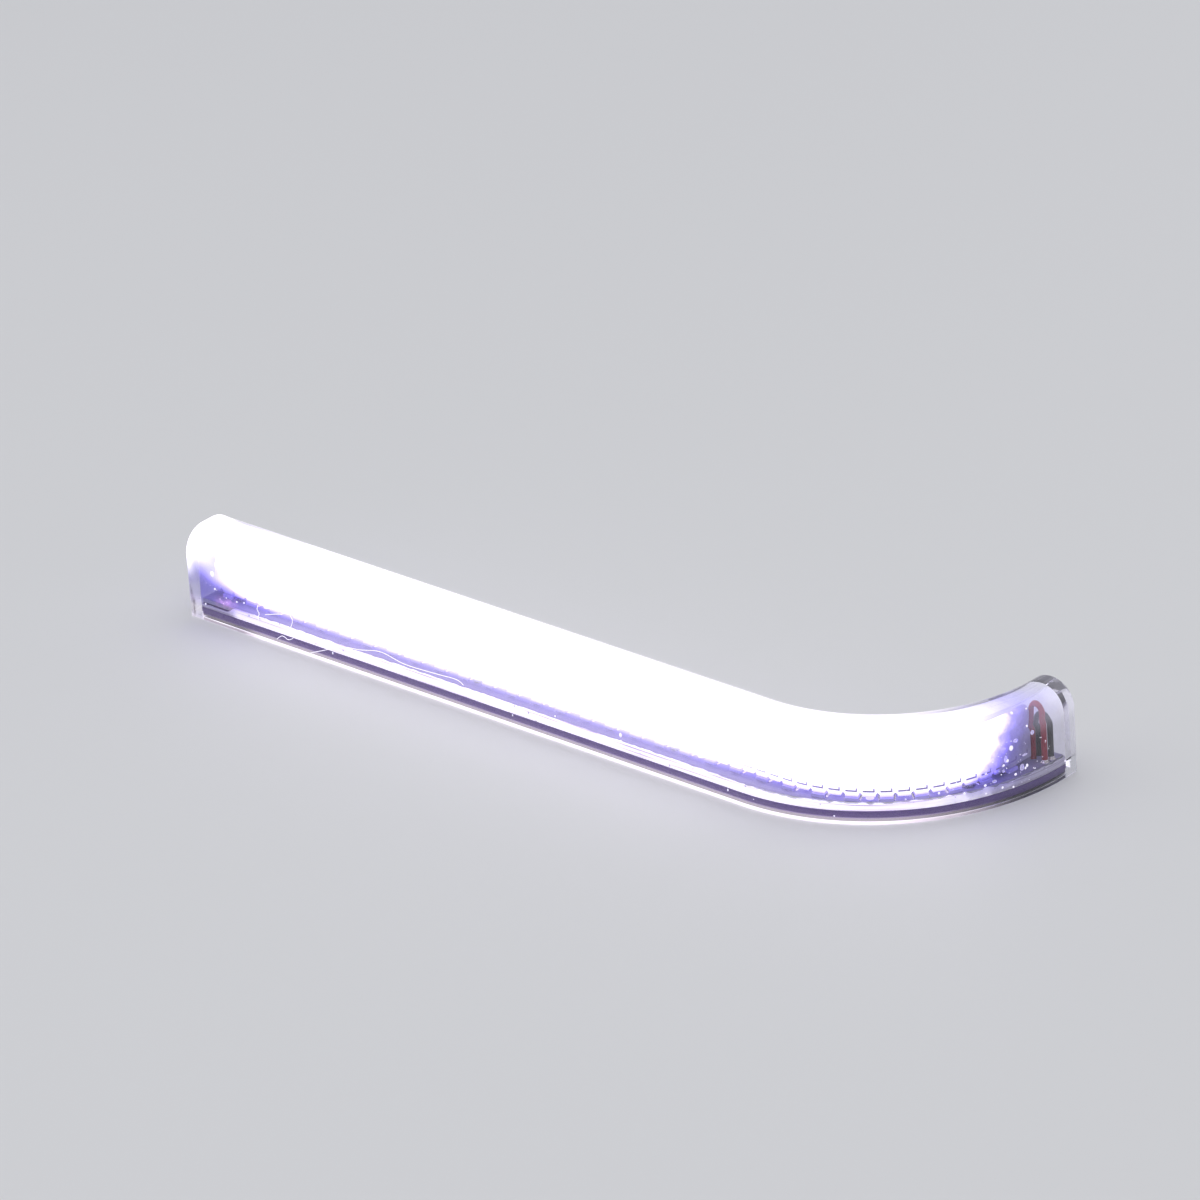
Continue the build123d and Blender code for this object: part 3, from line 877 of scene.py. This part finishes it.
def make_glue_tree(material):
    """Flat strip along a path, with an uneven upper edge and a thin tail."""
    tree, source, sink = geometry_tree("glue_strip", (
        ("Thickness", "Float", glue_thickness), ("Tall", "Float", 1.9 * mm), ("Step", "Float", 0.5 * mm),
        ("Upper", "Float", 4.0 * mm), ("Straight Wave", "Float", 0.8 * mm), ("Bend Wave", "Float", 2.0 * mm),
        ("Straight Lift", "Float", 0.2 * mm), ("Bend Lift", "Float", -0.3 * mm),
        ("Lower", "Float", glue_low), ("Thin End", "Float", 1.5 * mm)))
    curve = shaped(tree, "MeshToCurve", Mesh=source["Geometry"])
    even = shaped(tree, "ResampleCurve", mode="LENGTH", Curve=curve, Length=source["Step"])
    level = shaped(tree, "SetCurveNormal", mode="Z_UP", Curve=even)
    profile = shaped(tree, "CurvePrimitiveQuadrilateral", Width=source["Thickness"], Height=source["Tall"])
    fine = shaped(tree, "SubdivideCurve", Curve=profile, Cuts=3)
    strip = shaped(tree, "CurveToMesh", Curve=level, Profile_Curve=fine)
    where = node(tree, "GeometryNodeInputPosition").outputs[0]
    point = node(tree, "ShaderNodeSeparateXYZ", Vector=where).outputs
    wave = ease(point["X"], wave_begin, wave_full, source["Straight Wave"], source["Bend Wave"])
    level_lift = ease(point["X"], wave_begin, wave_full, source["Straight Lift"], source["Bend Lift"])
    spread = maths("SUBTRACT", noise_of(where, 430.0, 3.0), 0.5)
    upper = maths("GREATER_THAN", point["Z"], source["Upper"])
    lift = times(maths("MULTIPLY_ADD", spread, wave, level_lift), upper)
    above = maths("DIVIDE", maths("SUBTRACT", point["Z"], source["Lower"]), source["Tall"], clamp=True)
    sunk = times(ease(point["X"], tail_end, tail_begin, source["Thin End"], 0.0), above)
    offset = vector_of(tree, z=maths("SUBTRACT", lift, sunk))
    return close_tree(tree, shaped(tree, "SetPosition", Geometry=strip, Offset=offset), material, sink)


glue_margin = lens_wall + glue_thickness / 2 + 0.01 * mm
rings = [lens_ring(glue_margin, glue_margin, step / 60, 0) for step in range(121)]
round_path = [ring[0] for ring in rings] + [ring[-1] for ring in rings[::-1]]
glue_path = [(x, y, (glue_low + board_top) / 2) for x, y, _ in round_path]
glue_seed = path_mesh("glue_path", glue_path, closed=True)
glue_mesh = grow("glue_line", make_glue_tree(make_glue_finish()), glue_seed, Thickness=glue_thickness,
                 Tall=board_top - glue_low, Upper=board_top - 0.5 * mm, Lower=glue_low)
new_piece("glue_line", glue_mesh)
glue_heights = [vertex.co.z / mm for vertex in glue_mesh.vertices]
print("glue from", round(min(glue_heights), 2), "to", round(max(glue_heights), 2), "mm above the rim")

# %% [markdown]
# ## Board
# The board is a strip of aluminium under a pale solder mask, and the lavender of the guide's light is
# painted into its colour. Copper runs along it under the mask and shows as low raised bands, and the
# cut edge shows the bare metal. The bands follow the board's bend, so they are drawn by depth from
# the outer wall.

# %% Board finish
mask_painted_lavender = (0.30, 0.27, 0.46)
raised_painted_lavender = (0.42, 0.38, 0.58)
cut_metal = (0.62, 0.62, 0.66)
rail_depths = ((3.5, 4.7), (9.7, 10.0))
rung_depth = (4.6, 9.8)
rung_edge = (0.6, 0.8)


def make_board_finish():
    """Pale solder mask over copper bands, with a bare metal edge."""
    material, tree, inputs = new_material("board_finish", mask_painted_lavender, 0.4)
    along, depth, height = place_on(tree)
    rails = maths("ADD", *(band(depth, *depths) for depths in rail_depths))
    rungs = ease(maths("PINGPONG", along, led_pitch / mm / 2), *rung_edge, 1.0, 0.0)
    tracks = maths("MAXIMUM", rails, times(band(depth, *rung_depth), rungs))
    mask_top = maths("GREATER_THAN", height, board_top / mm - 0.03)
    # Painted lavender light of the guide in the colour of the mask and the raised bands.
    copper_seen = mix(times(tracks, 0.35), mask_painted_lavender, raised_painted_lavender)
    feed(inputs["Base Color"], mix(mask_top, cut_metal, copper_seen))
    feed(inputs["Metallic"], inverse(mask_top))
    grain = add_grain(tree, inputs, 2500.0, 0.32, 0.48)
    feed(inputs["Normal"], bump(maths("MULTIPLY_ADD", grain, 0.1, tracks), 0.05 * mm))
    return material


dress("led_board", make_board_finish())
print("board dressed")

# %% [markdown]
# ## Diodes
# Each diode is a white moulded body with a shallow cup of phosphor. While the lamp is lit, the glare
# of the guide washes both of them violet, so that violet light is painted into their colours and the
# body gets a faint painted glow.

# %% Diode finishes
phosphor_painted_violet = (0.36, 0.31, 0.50)
phosphor_glow = ((0.50, 0.42, 1.0), (0.70, 0.58, 0.90))
body_painted_violet = (0.42, 0.38, 0.68)
body_painted_glow = (0.40, 0.35, 0.90, 1)

# Painted violet light in the colours of phosphor and body, and a painted glow on the body.
dress("led_phosphors", make_finish("phosphor_finish", phosphor_painted_violet, 0.4, 0.6, 5000.0, glow=phosphor_glow,
                                   Emission_Strength=0.2))
dress("led_packages", make_finish("led_body_finish", body_painted_violet, 0.3, 0.45, 6000.0, 0.008 * mm,
                                  Emission_Color=body_painted_glow, Emission_Strength=0.25))
print("diodes dressed")

# %% [markdown]
# ## Solder
# Every diode is soldered at two ends. The joint is a small concave fillet, the same sixty-two times,
# so one pair is modelled and Geometry Nodes set it along the guide: the path becomes a curve, the
# curve is trimmed to the first and last diode and resampled to their number, and each point takes a
# pair turned to the path's direction.

# %% Solder fillets
led_length = 2.8 * mm
fillet_width = 2.3 * mm
fillet_rise = 0.45 * mm
fillet_run = 0.4 * mm
guide_steps = 900
metal_shade = 0.72


def make_metal_finish(*values):
    """Bare metal with a fine uneven shine."""
    return make_finish(*values, shade=metal_shade, Metallic=1.0)


def make_fillet_pair():
    """The two concave fillets of one diode, about its centre."""
    work = bmesh.new()
    outline = [(fillet_run * (1 - sin(a)), fillet_rise * (1 - cos(a))) for a in quarter(5)] + [(0, 0)]
    for side in (-1, 1):
        rows = [[work.verts.new((side * (led_length / 2 + x), y, z)) for x, z in outline]
                for y in (-fillet_width / 2, fillet_width / 2)]
        bridge(work, rows)
    return outward_mesh(work, "fillet_pair")


def make_row_tree(material):
    """Copies of an object, evenly spaced along a path and turned to it."""
    tree, source, sink = geometry_tree("row_along_path", (
        ("Copy", "Object", None), ("First", "Float", led_first), ("Last", "Float", 0.2),
        ("Count", "Int", led_count)))
    curve = shaped(tree, "MeshToCurve", Mesh=source["Geometry"])
    trimmed = node(tree, "GeometryNodeTrimCurve", mode="LENGTH", Curve=curve)
    feed(trimmed.inputs[4], source["First"])
    feed(trimmed.inputs[5], source["Last"])
    stations = shaped(tree, "ResampleCurve", mode="COUNT", Curve=trimmed.outputs[0], Count=source["Count"])
    tangent = node(tree, "GeometryNodeInputTangent").outputs[0]
    heading = node(tree, "FunctionNodeAlignRotationToVector", axis="X", Vector=tangent).outputs[0]
    copy = node(tree, "GeometryNodeObjectInfo", Object=source["Copy"]).outputs["Geometry"]
    copies = shaped(tree, "InstanceOnPoints", Points=stations, Instance=copy, Rotation=heading)
    return close_tree(tree, copies, material, sink)


solder_finish = make_metal_finish("solder_finish", (0.82, 0.76, 0.74), 0.10, 0.3, 2500.0, 0.02 * mm)
pair_object = bpy.data.objects.new("fillet_pair", make_fillet_pair())
scene.collection.objects.link(pair_object)
guide_path = [spot(guide_run, run_length(guide_run) * step / guide_steps, guide_thickness / 2, board_top)
              for step in range(guide_steps + 1)]
solder_mesh = grow("diode_solder", make_row_tree(solder_finish), path_mesh("guide_path", guide_path),
                   Copy=pair_object, First=led_first, Last=led_first + led_pitch * (led_count - 1),
                   Count=led_count)
bpy.data.objects.remove(pair_object)
new_piece("diode_solder", solder_mesh)

# %% [markdown]
# ## Small parts on the board
# Behind the guide lies a lane of small parts. The capacitors and resistors are ceramic blocks with
# tinned ends, so one finish finds the ends from the pitch of the row. The chip, the diode and the
# surge clamp are black moulded bodies, and they get bent metal legs. The screws are plated steel.

# %% Small parts
block_length = 2.0 * mm
tinned_end = 0.4 * mm
tin = (0.74, 0.72, 0.68)
leg_thickness = 0.12 * mm
chip_leg_pitch, chip_leg_width, chip_leg_drop = 0.95 * mm, 0.4 * mm, 0.45 * mm
diode_leg_share, diode_leg_drop = 0.6, 0.5 * mm


def make_block_finish(name, colour, node_name, pitch):
    """Ceramic block with tinned ends, repeated at a pitch along X."""
    first_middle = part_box(node_name)[0].x + block_length / 2
    material, tree, inputs = new_material(name, colour, 0.5)
    x = node(tree, "ShaderNodeSeparateXYZ", Vector=object_place(tree)).outputs["X"]
    local = maths("WRAP", maths("SUBTRACT", x, first_middle), pitch / 2, -pitch / 2)
    tinned = maths("GREATER_THAN", maths("ABSOLUTE", local), block_length / 2 - tinned_end)
    feed(inputs["Base Color"], mix(tinned, colour, tin))
    feed(inputs["Metallic"], tinned)
    add_grain(tree, inputs, 6000.0, 0.28, 0.5, 0.01 * mm)
    return material


def add_leg(work, start, outward, width, drop):
    """Bent metal leg from the side of a body down to the board."""
    sideways = Vector((-outward.y, outward.x, 0)) * width / 2
    rings = []
    for reach, lift in ((-0.05 * mm, drop), (0.22 * mm, drop), (0.42 * mm, 0.0), (0.85 * mm, 0.0)):
        base = start + outward * reach + Vector((0, 0, lift))
        rings.append([work.verts.new(base + sideways * side + Vector((0, 0, rise)))
                      for side, rise in ((-1, 0.0), (1, 0.0), (1, leg_thickness), (-1, leg_thickness))])
    bridge(work, rings)


def make_leg_mesh():
    """Legs of the chip, the diode and the clamp."""
    work = bmesh.new()
    low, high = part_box("driver_chip")
    for row in (-1, 0, 1):
        for side, edge in ((-1, low.y), (1, high.y)):
            start = Vector(((low.x + high.x) / 2 + row * chip_leg_pitch, edge, board_top))
            add_leg(work, start, Vector((0, side, 0)), chip_leg_width, chip_leg_drop)
    for node_name in ("input_diode", "surge_clamp"):
        low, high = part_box(node_name)
        for side, edge in ((-1, low.x), (1, high.x)):
            start = Vector((edge, (low.y + high.y) / 2, board_top))
            add_leg(work, start, Vector((side, 0, 0)), diode_leg_share * (high.y - low.y), diode_leg_drop)
    return outward_mesh(work, "part_legs")


leg_finish = make_metal_finish("tinned_leg_finish", (0.72, 0.71, 0.70), 0.2, 0.38, 4000.0, 0.01 * mm)
new_piece("part_legs", make_leg_mesh(), leg_finish)
epoxy_finish = make_finish("black_epoxy_finish", (0.018, 0.017, 0.020), 0.42, 0.62, 7000.0, 0.012 * mm)
for node_name in ("driver_chip", "input_diode", "surge_clamp"):
    dress(node_name, epoxy_finish)
for node_name, name, colour, pitch in (
        ("filter_capacitors", "capacitor_finish", (0.36, 0.22, 0.12), 4.0 * mm),
        ("string_resistors", "resistor_finish", (0.02, 0.02, 0.024), 21.0 * mm)):
    dress(node_name, make_block_finish(name, colour, node_name, pitch))
dress("board_screws", make_metal_finish("screw_finish", (0.60, 0.59, 0.58), 0.22, 0.42, 3000.0, 0.015 * mm))
print("small parts dressed")

# %% [markdown]
# ## Leads and their joints
# Two leads come in through the rubber inlet and turn down to the board. Their insulation is soft
# plastic with a slight waviness. A plain disc under each lead would not read as a joint, so a solder
# mound is turned for each one: a skirt that wets the pad and climbs the lead, a little uneven.

# %% Leads and solder mounds
insulation_shade = 0.55
lead_radius = 0.6 * mm
mound_neck = 0.92 * lead_radius
mound_rise = 1.15 * mm
mound_turns, mound_steps = 28, 8
mound_hollow = 2.2
mound_lump, lump_reach, lump_spread, lump_rise = 0.07, 2.2, 900, 2.0


def mound_centres():
    """Middle and radius of each joint, measured from the discs of the solid."""
    low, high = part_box("lead_terminals")
    split = (low.y + high.y) / 2
    places = [vertex.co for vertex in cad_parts["lead_terminals"].data.vertices]
    for group in ([p for p in places if p.y < split], [p for p in places if p.y >= split]):
        (left, right), (near, far) = ((min(values), max(values)) for values in zip(*(p.xy for p in group)))
        yield (left + right) / 2, (near + far) / 2, (right - left) / 2


def make_mound_mesh():
    """Solder mounds: a concave skirt round each lead, a little uneven."""
    work = bmesh.new()
    for x, y, skirt in mound_centres():
        rings = []
        for share in (step / mound_steps for step in range(mound_steps + 1)):
            radius = mound_neck + (skirt - mound_neck) * (1 - share) ** mound_hollow
            ring = []
            for angle in (2 * pi * turn / mound_turns for turn in range(mound_turns)):
                lump_at = Vector((lump_reach * cos(angle) + lump_spread * x,
                                  lump_reach * sin(angle) + lump_spread * y, lump_rise * share))
                reach = radius * (1 + mound_lump * noise.noise(lump_at) * (1 - share))
                ring.append(work.verts.new((x + reach * cos(angle), y + reach * sin(angle),
                                            board_top + mound_rise * share)))
            rings.append(ring)
        bridge(work, rings)
    return outward_mesh(work, "solder_mounds")


new_piece("solder_mounds", make_mound_mesh(), solder_finish, ("lead_terminals",))
for node_name, name, colour in (("red_lead", "red_insulation_finish", (0.46, 0.010, 0.040)),
                                ("black_lead", "black_insulation_finish", (0.022, 0.020, 0.030))):
    dress(node_name, make_finish(name, colour, 0.32, 0.55, 700.0, 0.08 * mm, shade=insulation_shade))

# %% [markdown]
# ## Threaded inserts
# Two brass inserts take the mounting screws. Their solids are plain sleeves, so the thread is added:
# Geometry Nodes draw a spiral, sweep a small ridge along it and set one in each insert. The two
# points where they stand come from the sleeves' own boxes.

# %% Insert threads
thread_pitch = 0.5 * mm
thread_radius = 1.22 * mm
thread_ridge = 0.13 * mm
thread_gap = 0.25 * mm


def make_thread_tree(material):
    """Threads made of a swept spiral, one on each point."""
    tree, source, sink = geometry_tree("insert_thread", (
        ("Radius", "Float", thread_radius), ("Tall", "Float", 2.0 * mm), ("Turns", "Float", 4.0),
        ("Ridge", "Float", thread_ridge)))
    spiral = shaped(tree, "CurveSpiral", Resolution=24, Rotations=source["Turns"], Height=source["Tall"],
                    Start_Radius=source["Radius"], End_Radius=source["Radius"])
    ridge = round_bar(tree, spiral, source["Ridge"], 4)
    copies = shaped(tree, "InstanceOnPoints", Points=source["Geometry"], Instance=ridge)
    return close_tree(tree, copies, material, sink)


brass_finish = make_metal_finish("brass_finish", (0.72, 0.50, 0.22), 0.22, 0.42, 3500.0, 0.012 * mm)
dress("threaded_inserts", brass_finish)
insert_low, insert_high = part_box("threaded_inserts")
insert_radius = (insert_high.y - insert_low.y) / 2
thread_tall = insert_high.z - insert_low.z - 2 * thread_gap
thread_points = [(x, insert_low.y + insert_radius, insert_low.z + thread_gap)
                 for x in (insert_low.x + insert_radius, insert_high.x - insert_radius)]
thread_seed = plain_mesh("thread_points", thread_points)
thread_mesh = grow("insert_threads", make_thread_tree(brass_finish), thread_seed, Tall=thread_tall,
                   Turns=thread_tall / thread_pitch)
new_piece("insert_threads", thread_mesh)

# %% [markdown]
# ## Lint
# The lamp has been handled. A long fibre and some short ones cling to the straight wall. They follow
# paths, so they are swept like the glue, through a few listed points: millimetres along the lamp
# and above the rim.

# %% Lint
fibre_long = [(36, 0.8), (41, 3.0), (46, 5.2), (52, 6.2), (58, 7.4), (65, 6.4), (74, 6.7), (80, 7.0),
              (82, 6.2)]
fibre_wave = [(26.5, 1.6), (28, 2.8), (29, 2.8), (30, 2.4), (31.5, 3.2)]
fibre_curl = [(21.5, 8.5), (21.1, 7.4), (21.7, 6.5), (21.2, 5.6), (21.5, 4.9)]
fibre_dash = [(23.5, 6.8), (25.7, 7.5), (27.6, 8.1), (28.6, 8.3)]
fibre_upright = [(31.2, 8.7), (31.8, 7.6), (31, 5.7)]
fibre_radius = 0.07 * mm
speck_glow = (pale_lavender, lit_white)


def make_fibre_tree(material):
    """Thin round thread along a path, smoothed through its points."""
    tree, source, sink = geometry_tree("fibre", (
        ("Radius", "Float", fibre_radius), ("Step", "Float", 0.5 * mm)))
    curve = shaped(tree, "MeshToCurve", Mesh=source["Geometry"])
    flowing = shaped(tree, "CurveSplineType", spline_type="CATMULL_ROM", Curve=curve)
    even = shaped(tree, "ResampleCurve", mode="LENGTH", Curve=flowing, Length=source["Step"])
    return close_tree(tree, round_bar(tree, even, source["Radius"], 6), material, sink)


def join_meshes(name, meshes):
    """One mesh from several."""
    work = bmesh.new()
    for mesh in meshes:
        work.from_mesh(mesh)
    return mesh_from(work, name)


# Painted light: the lint glows pale lavender to white.
lint_finish = make_finish("lint_finish", (0.86, 0.83, 0.92), 0.25, 0.5, 3000.0, glow=speck_glow,
                          Emission_Strength=0.65)
fibre_tree = make_fibre_tree(lint_finish)
fibre_meshes = []
for number, points in enumerate((fibre_long, fibre_wave, fibre_curl, fibre_dash, fibre_upright)):
    path = [spot(outer_wall, along * mm, -fibre_radius, height * mm) for along, height in points]
    fibre_meshes.append(grow("fibre_" + str(number), fibre_tree, path_mesh("fibre_path", path)))
new_piece("lint", join_meshes("lint", fibre_meshes), lint_finish)

# %% [markdown]
# ## Dried drops
# Small dried drops sit on the clear tip, at the other end and here and there between them. The small
# ones are scattered over patches of the wall with a fixed seed: many small, few large, each flattened
# against the wall. The larger ones are placed one by one and made a little uneven, with a fixed seed too.
# Most of them are bright with a painted glow that stands for highlights, and at the tip some are
# clear, so that they show mostly by the way they bend the light, with a faint painted glow.

# %% Dried drops
Patch = namedtuple("Patch", "begin end low high density")
drop_patches = (Patch(196 * mm, 221 * mm, 3.5 * mm, 15.0 * mm, 260000.0),
                Patch(5 * mm, 24 * mm, 5.0 * mm, 14.0 * mm, 70000.0),
                Patch(30 * mm, 195 * mm, 2.5 * mm, 8.5 * mm, 14000.0))
patch_columns, patch_rows = 24, 6
first_seed, stretch_seed, wobble_seed = 4, 9, 7
drop_stretch = (0.7, 1.5)
drop_flatness = 0.35

# Larger drops as (along, height, width, tall) in millimetres
bright_drops = [
    (8.0, 12.5, 1.2, 1.4), (8.5, 8.9, 0.5, 0.5), (15.0, 7.5, 0.4, 0.4), (17.2, 7.9, 0.4, 0.4),
    (5.2, 4.3, 0.4, 0.5), (43.3, 2.9, 0.3, 0.6), (108.3, 6.3, 0.4, 0.4), (126.9, 7.2, 0.7, 1.0),
    (126.9, 5.8, 0.4, 0.4), (156.5, 2.8, 0.3, 0.6), (178.8, 1.9, 0.4, 0.3), (212.1, 12.9, 1.0, 1.2),
    (213.8, 19.7, 0.6, 0.7), (215.8, 16.6, 0.4, 0.5), (217.1, 19.5, 0.4, 0.4), (224.9, 4.1, 0.4, 0.5),
]
clear_drops = [
    (206.7, 8.8, 0.6, 0.8), (208.4, 6.3, 1.1, 0.7), (210.3, 8.1, 0.6, 0.7), (210.9, 10.7, 0.7, 1.7),
    (213.1, 14.3, 1.1, 0.9), (214.3, 7.5, 1.1, 1.6), (215.0, 10.2, 1.4, 0.6), (216.9, 14.7, 0.9, 1.1),
]
drop_thickness = 0.22 * mm
drop_wobble, wobble_size = 0.05 * mm, 0.6 * mm


def patch_mesh(patch):
    """Seed patch on the outer wall, from one distance and height to another."""
    points = [spot(outer_wall, patch.begin + (patch.end - patch.begin) * column / patch_columns, 0.0,
                   patch.low + (patch.high - patch.low) * row / patch_rows)
              for column in range(patch_columns + 1) for row in range(patch_rows + 1)]
    above = patch_rows + 1
    corners = [column * above + row for column in range(patch_columns) for row in range(patch_rows)]
    return plain_mesh("drop_patch", points, (), [(c, c + above, c + above + 1, c + 1) for c in corners])


def make_drop_tree(material):
    """Flattened drops scattered over a patch: many small and few large."""
    tree, source, sink = geometry_tree("drops", (
        ("Density", "Float", 100000.0), ("Smallest", "Float", 0.08 * mm), ("Largest", "Float", 0.34 * mm),
        ("Seed", "Int", first_seed)))
    scatter = node(tree, "GeometryNodeDistributePointsOnFaces", Mesh=source["Geometry"],
                   Density=source["Density"], Seed=source["Seed"]).outputs
    chance = node(tree, "FunctionNodeRandomValue", data_type="FLOAT", Seed=source["Seed"]).outputs[1]
    size = ease(maths("POWER", chance, 3.0), 0.0, 1.0, source["Smallest"], source["Largest"])
    stretch = node(tree, "FunctionNodeRandomValue", data_type="FLOAT", Seed=stretch_seed)
    feed(stretch.inputs[2], drop_stretch[0])
    feed(stretch.inputs[3], drop_stretch[1])
    form = vector_of(tree, size, times(size, stretch.outputs[1]), times(size, drop_flatness))
    drop = shaped(tree, "MeshIcoSphere", Radius=1.0, Subdivisions=2)
    copies = shaped(tree, "InstanceOnPoints", Points=scatter["Points"], Instance=drop,
                    Rotation=scatter["Rotation"], Scale=form)
    return close_tree(tree, copies, material, sink)


def make_large_drops(name, drops):
    """Larger drops, flattened against the wall or the dome."""
    work = bmesh.new()
    for along, height, width, tall in drops:
        tilt = asin(max(height * mm - shoulder, 0) / dome_radius)
        turn = Matrix.Rotation(turn_at(outer_wall, along * mm), 4, "Z") @ Matrix.Rotation(-tilt, 4, "X")
        size = Matrix.Diagonal((width * mm / 2, drop_thickness, tall * mm / 2, 1))
        centre = Matrix.Translation(spot(outer_wall, along * mm, dome_radius * (1 - cos(tilt)), height * mm))
        bmesh.ops.create_uvsphere(work, u_segments=20, v_segments=12, radius=1.0, matrix=centre @ turn @ size)
    noise.seed_set(wobble_seed)
    for vertex in work.verts:
        vertex.co += drop_wobble * noise.noise_vector(vertex.co / wobble_size)
    return mesh_from(work, name)


# Painted highlight: the drops glow pale lavender to white.
drop_finish = make_finish("drop_finish", (0.80, 0.77, 0.95), 0.25, 0.5, 3000.0, glow=speck_glow,
                          Emission_Strength=0.5)
drop_tree = make_drop_tree(drop_finish)
drop_meshes = [grow("drops_" + str(number), drop_tree, patch_mesh(patch), Density=patch.density,
                    Seed=first_seed + number) for number, patch in enumerate(drop_patches)]
drop_meshes.append(make_large_drops("bright_drops", bright_drops))
new_piece("dried_drops", join_meshes("dried_drops", drop_meshes), drop_finish)
# Clear drops with a faint painted glow.
clear_drop_finish = make_finish("clear_drop_finish", (0.90, 0.88, 0.98), 0.04, 0.16, 4000.0,
                                glow=(lavender, lit_white), IOR=1.36, Emission_Strength=0.2,
                                Transmission_Weight=1.0)
new_piece("clear_drops", make_large_drops("clear_drops", clear_drops), clear_drop_finish)

# %% [markdown]
# ## Stage and light
# The lamp lies on a plain pale floor. Three large soft lamps and an even sky light it at a level at
# which a colour renders about as it is written. The soft lamps aim at the middle of the lamp, and
# they don't show through clear plastic.

# %% Stage and light
floor_gap = 0.2 * mm
floor_half = 6.0


def make_floor():
    """Large pale floor just under the rim."""
    material, tree, inputs = new_material("pale_floor", (0.69, 0.69, 0.70), 0.6)
    marks = use(tree, marks_group, Smudge_Scale=3.0)
    feed(inputs["Roughness"], maths("MULTIPLY_ADD", marks["Smudge"], 0.1, 0.55))
    corners = [(x * floor_half, y * floor_half, -floor_gap) for x, y in ((-1, -1), (1, -1), (1, 1), (-1, 1))]
    mesh = plain_mesh("floor", corners, (), [(0, 1, 2, 3)])
    coat(mesh, material)
    floor = bpy.data.objects.new("floor", mesh)
    scene.collection.objects.link(floor)


def add_soft_lamp(name, place, size, power):
    """Square area lamp pointed at the middle of the lamp."""
    data = bpy.data.lights.new(name, "AREA")
    data.size = size
    data.energy = power
    lamp = bpy.data.objects.new(name, data)
    lamp.location = place
    lamp.rotation_euler = (-Vector(place)).to_track_quat("-Z", "Y").to_euler()
    lamp.visible_transmission = False
    scene.collection.objects.link(lamp)


make_floor()
add_soft_lamp("key_lamp", (-0.55, -0.70, 0.95), 1.6, 6.4)
add_soft_lamp("fill_lamp", (0.95, -0.25, 0.60), 1.4, 2.2)
add_soft_lamp("back_lamp", (0.15, 0.95, 0.80), 1.6, 4.2)

world = bpy.data.worlds.new("soft_sky")
scene.world = world
world.use_nodes = True
sky = world.node_tree.nodes["Background"].inputs
sky["Color"].default_value = (0.93, 0.95, 1.0, 1)
sky["Strength"].default_value = 0.55
print("lamps:", ", ".join(light.name for light in bpy.data.lights))

# %% [markdown]
# ## Camera
# The camera stands where the lamp is seen from a corner and from above, far away and through a long
# lens, so the two legs keep their proportions. It is rolled a little, as a hand-held camera is.

# %% Camera
camera_azimuth = radians(42.32)
camera_elevation = radians(26.52)
camera_roll = radians(3.78)
camera_place = Vector((1.0986, -1.2121, 0.8387))

back = Vector((sin(camera_azimuth) * cos(camera_elevation), -cos(camera_azimuth) * cos(camera_elevation),
               sin(camera_elevation)))
level = Vector((cos(camera_azimuth), sin(camera_azimuth), 0))
upward = back.cross(level)
right = level * cos(camera_roll) - upward * sin(camera_roll)
above = level * sin(camera_roll) + upward * cos(camera_roll)
camera_data = bpy.data.cameras.new("camera")
camera_data.sensor_width = 36
camera_data.lens = 253.5
camera_data.clip_end = 50
camera = bpy.data.objects.new("camera", camera_data)
camera.matrix_world = Matrix((right, above, back)).transposed().to_4x4()
camera.location = camera_place
scene.collection.objects.link(camera)
scene.camera = camera
scene.view_settings.view_transform = "Standard"
print("camera", [round(value, 3) for value in camera.location])
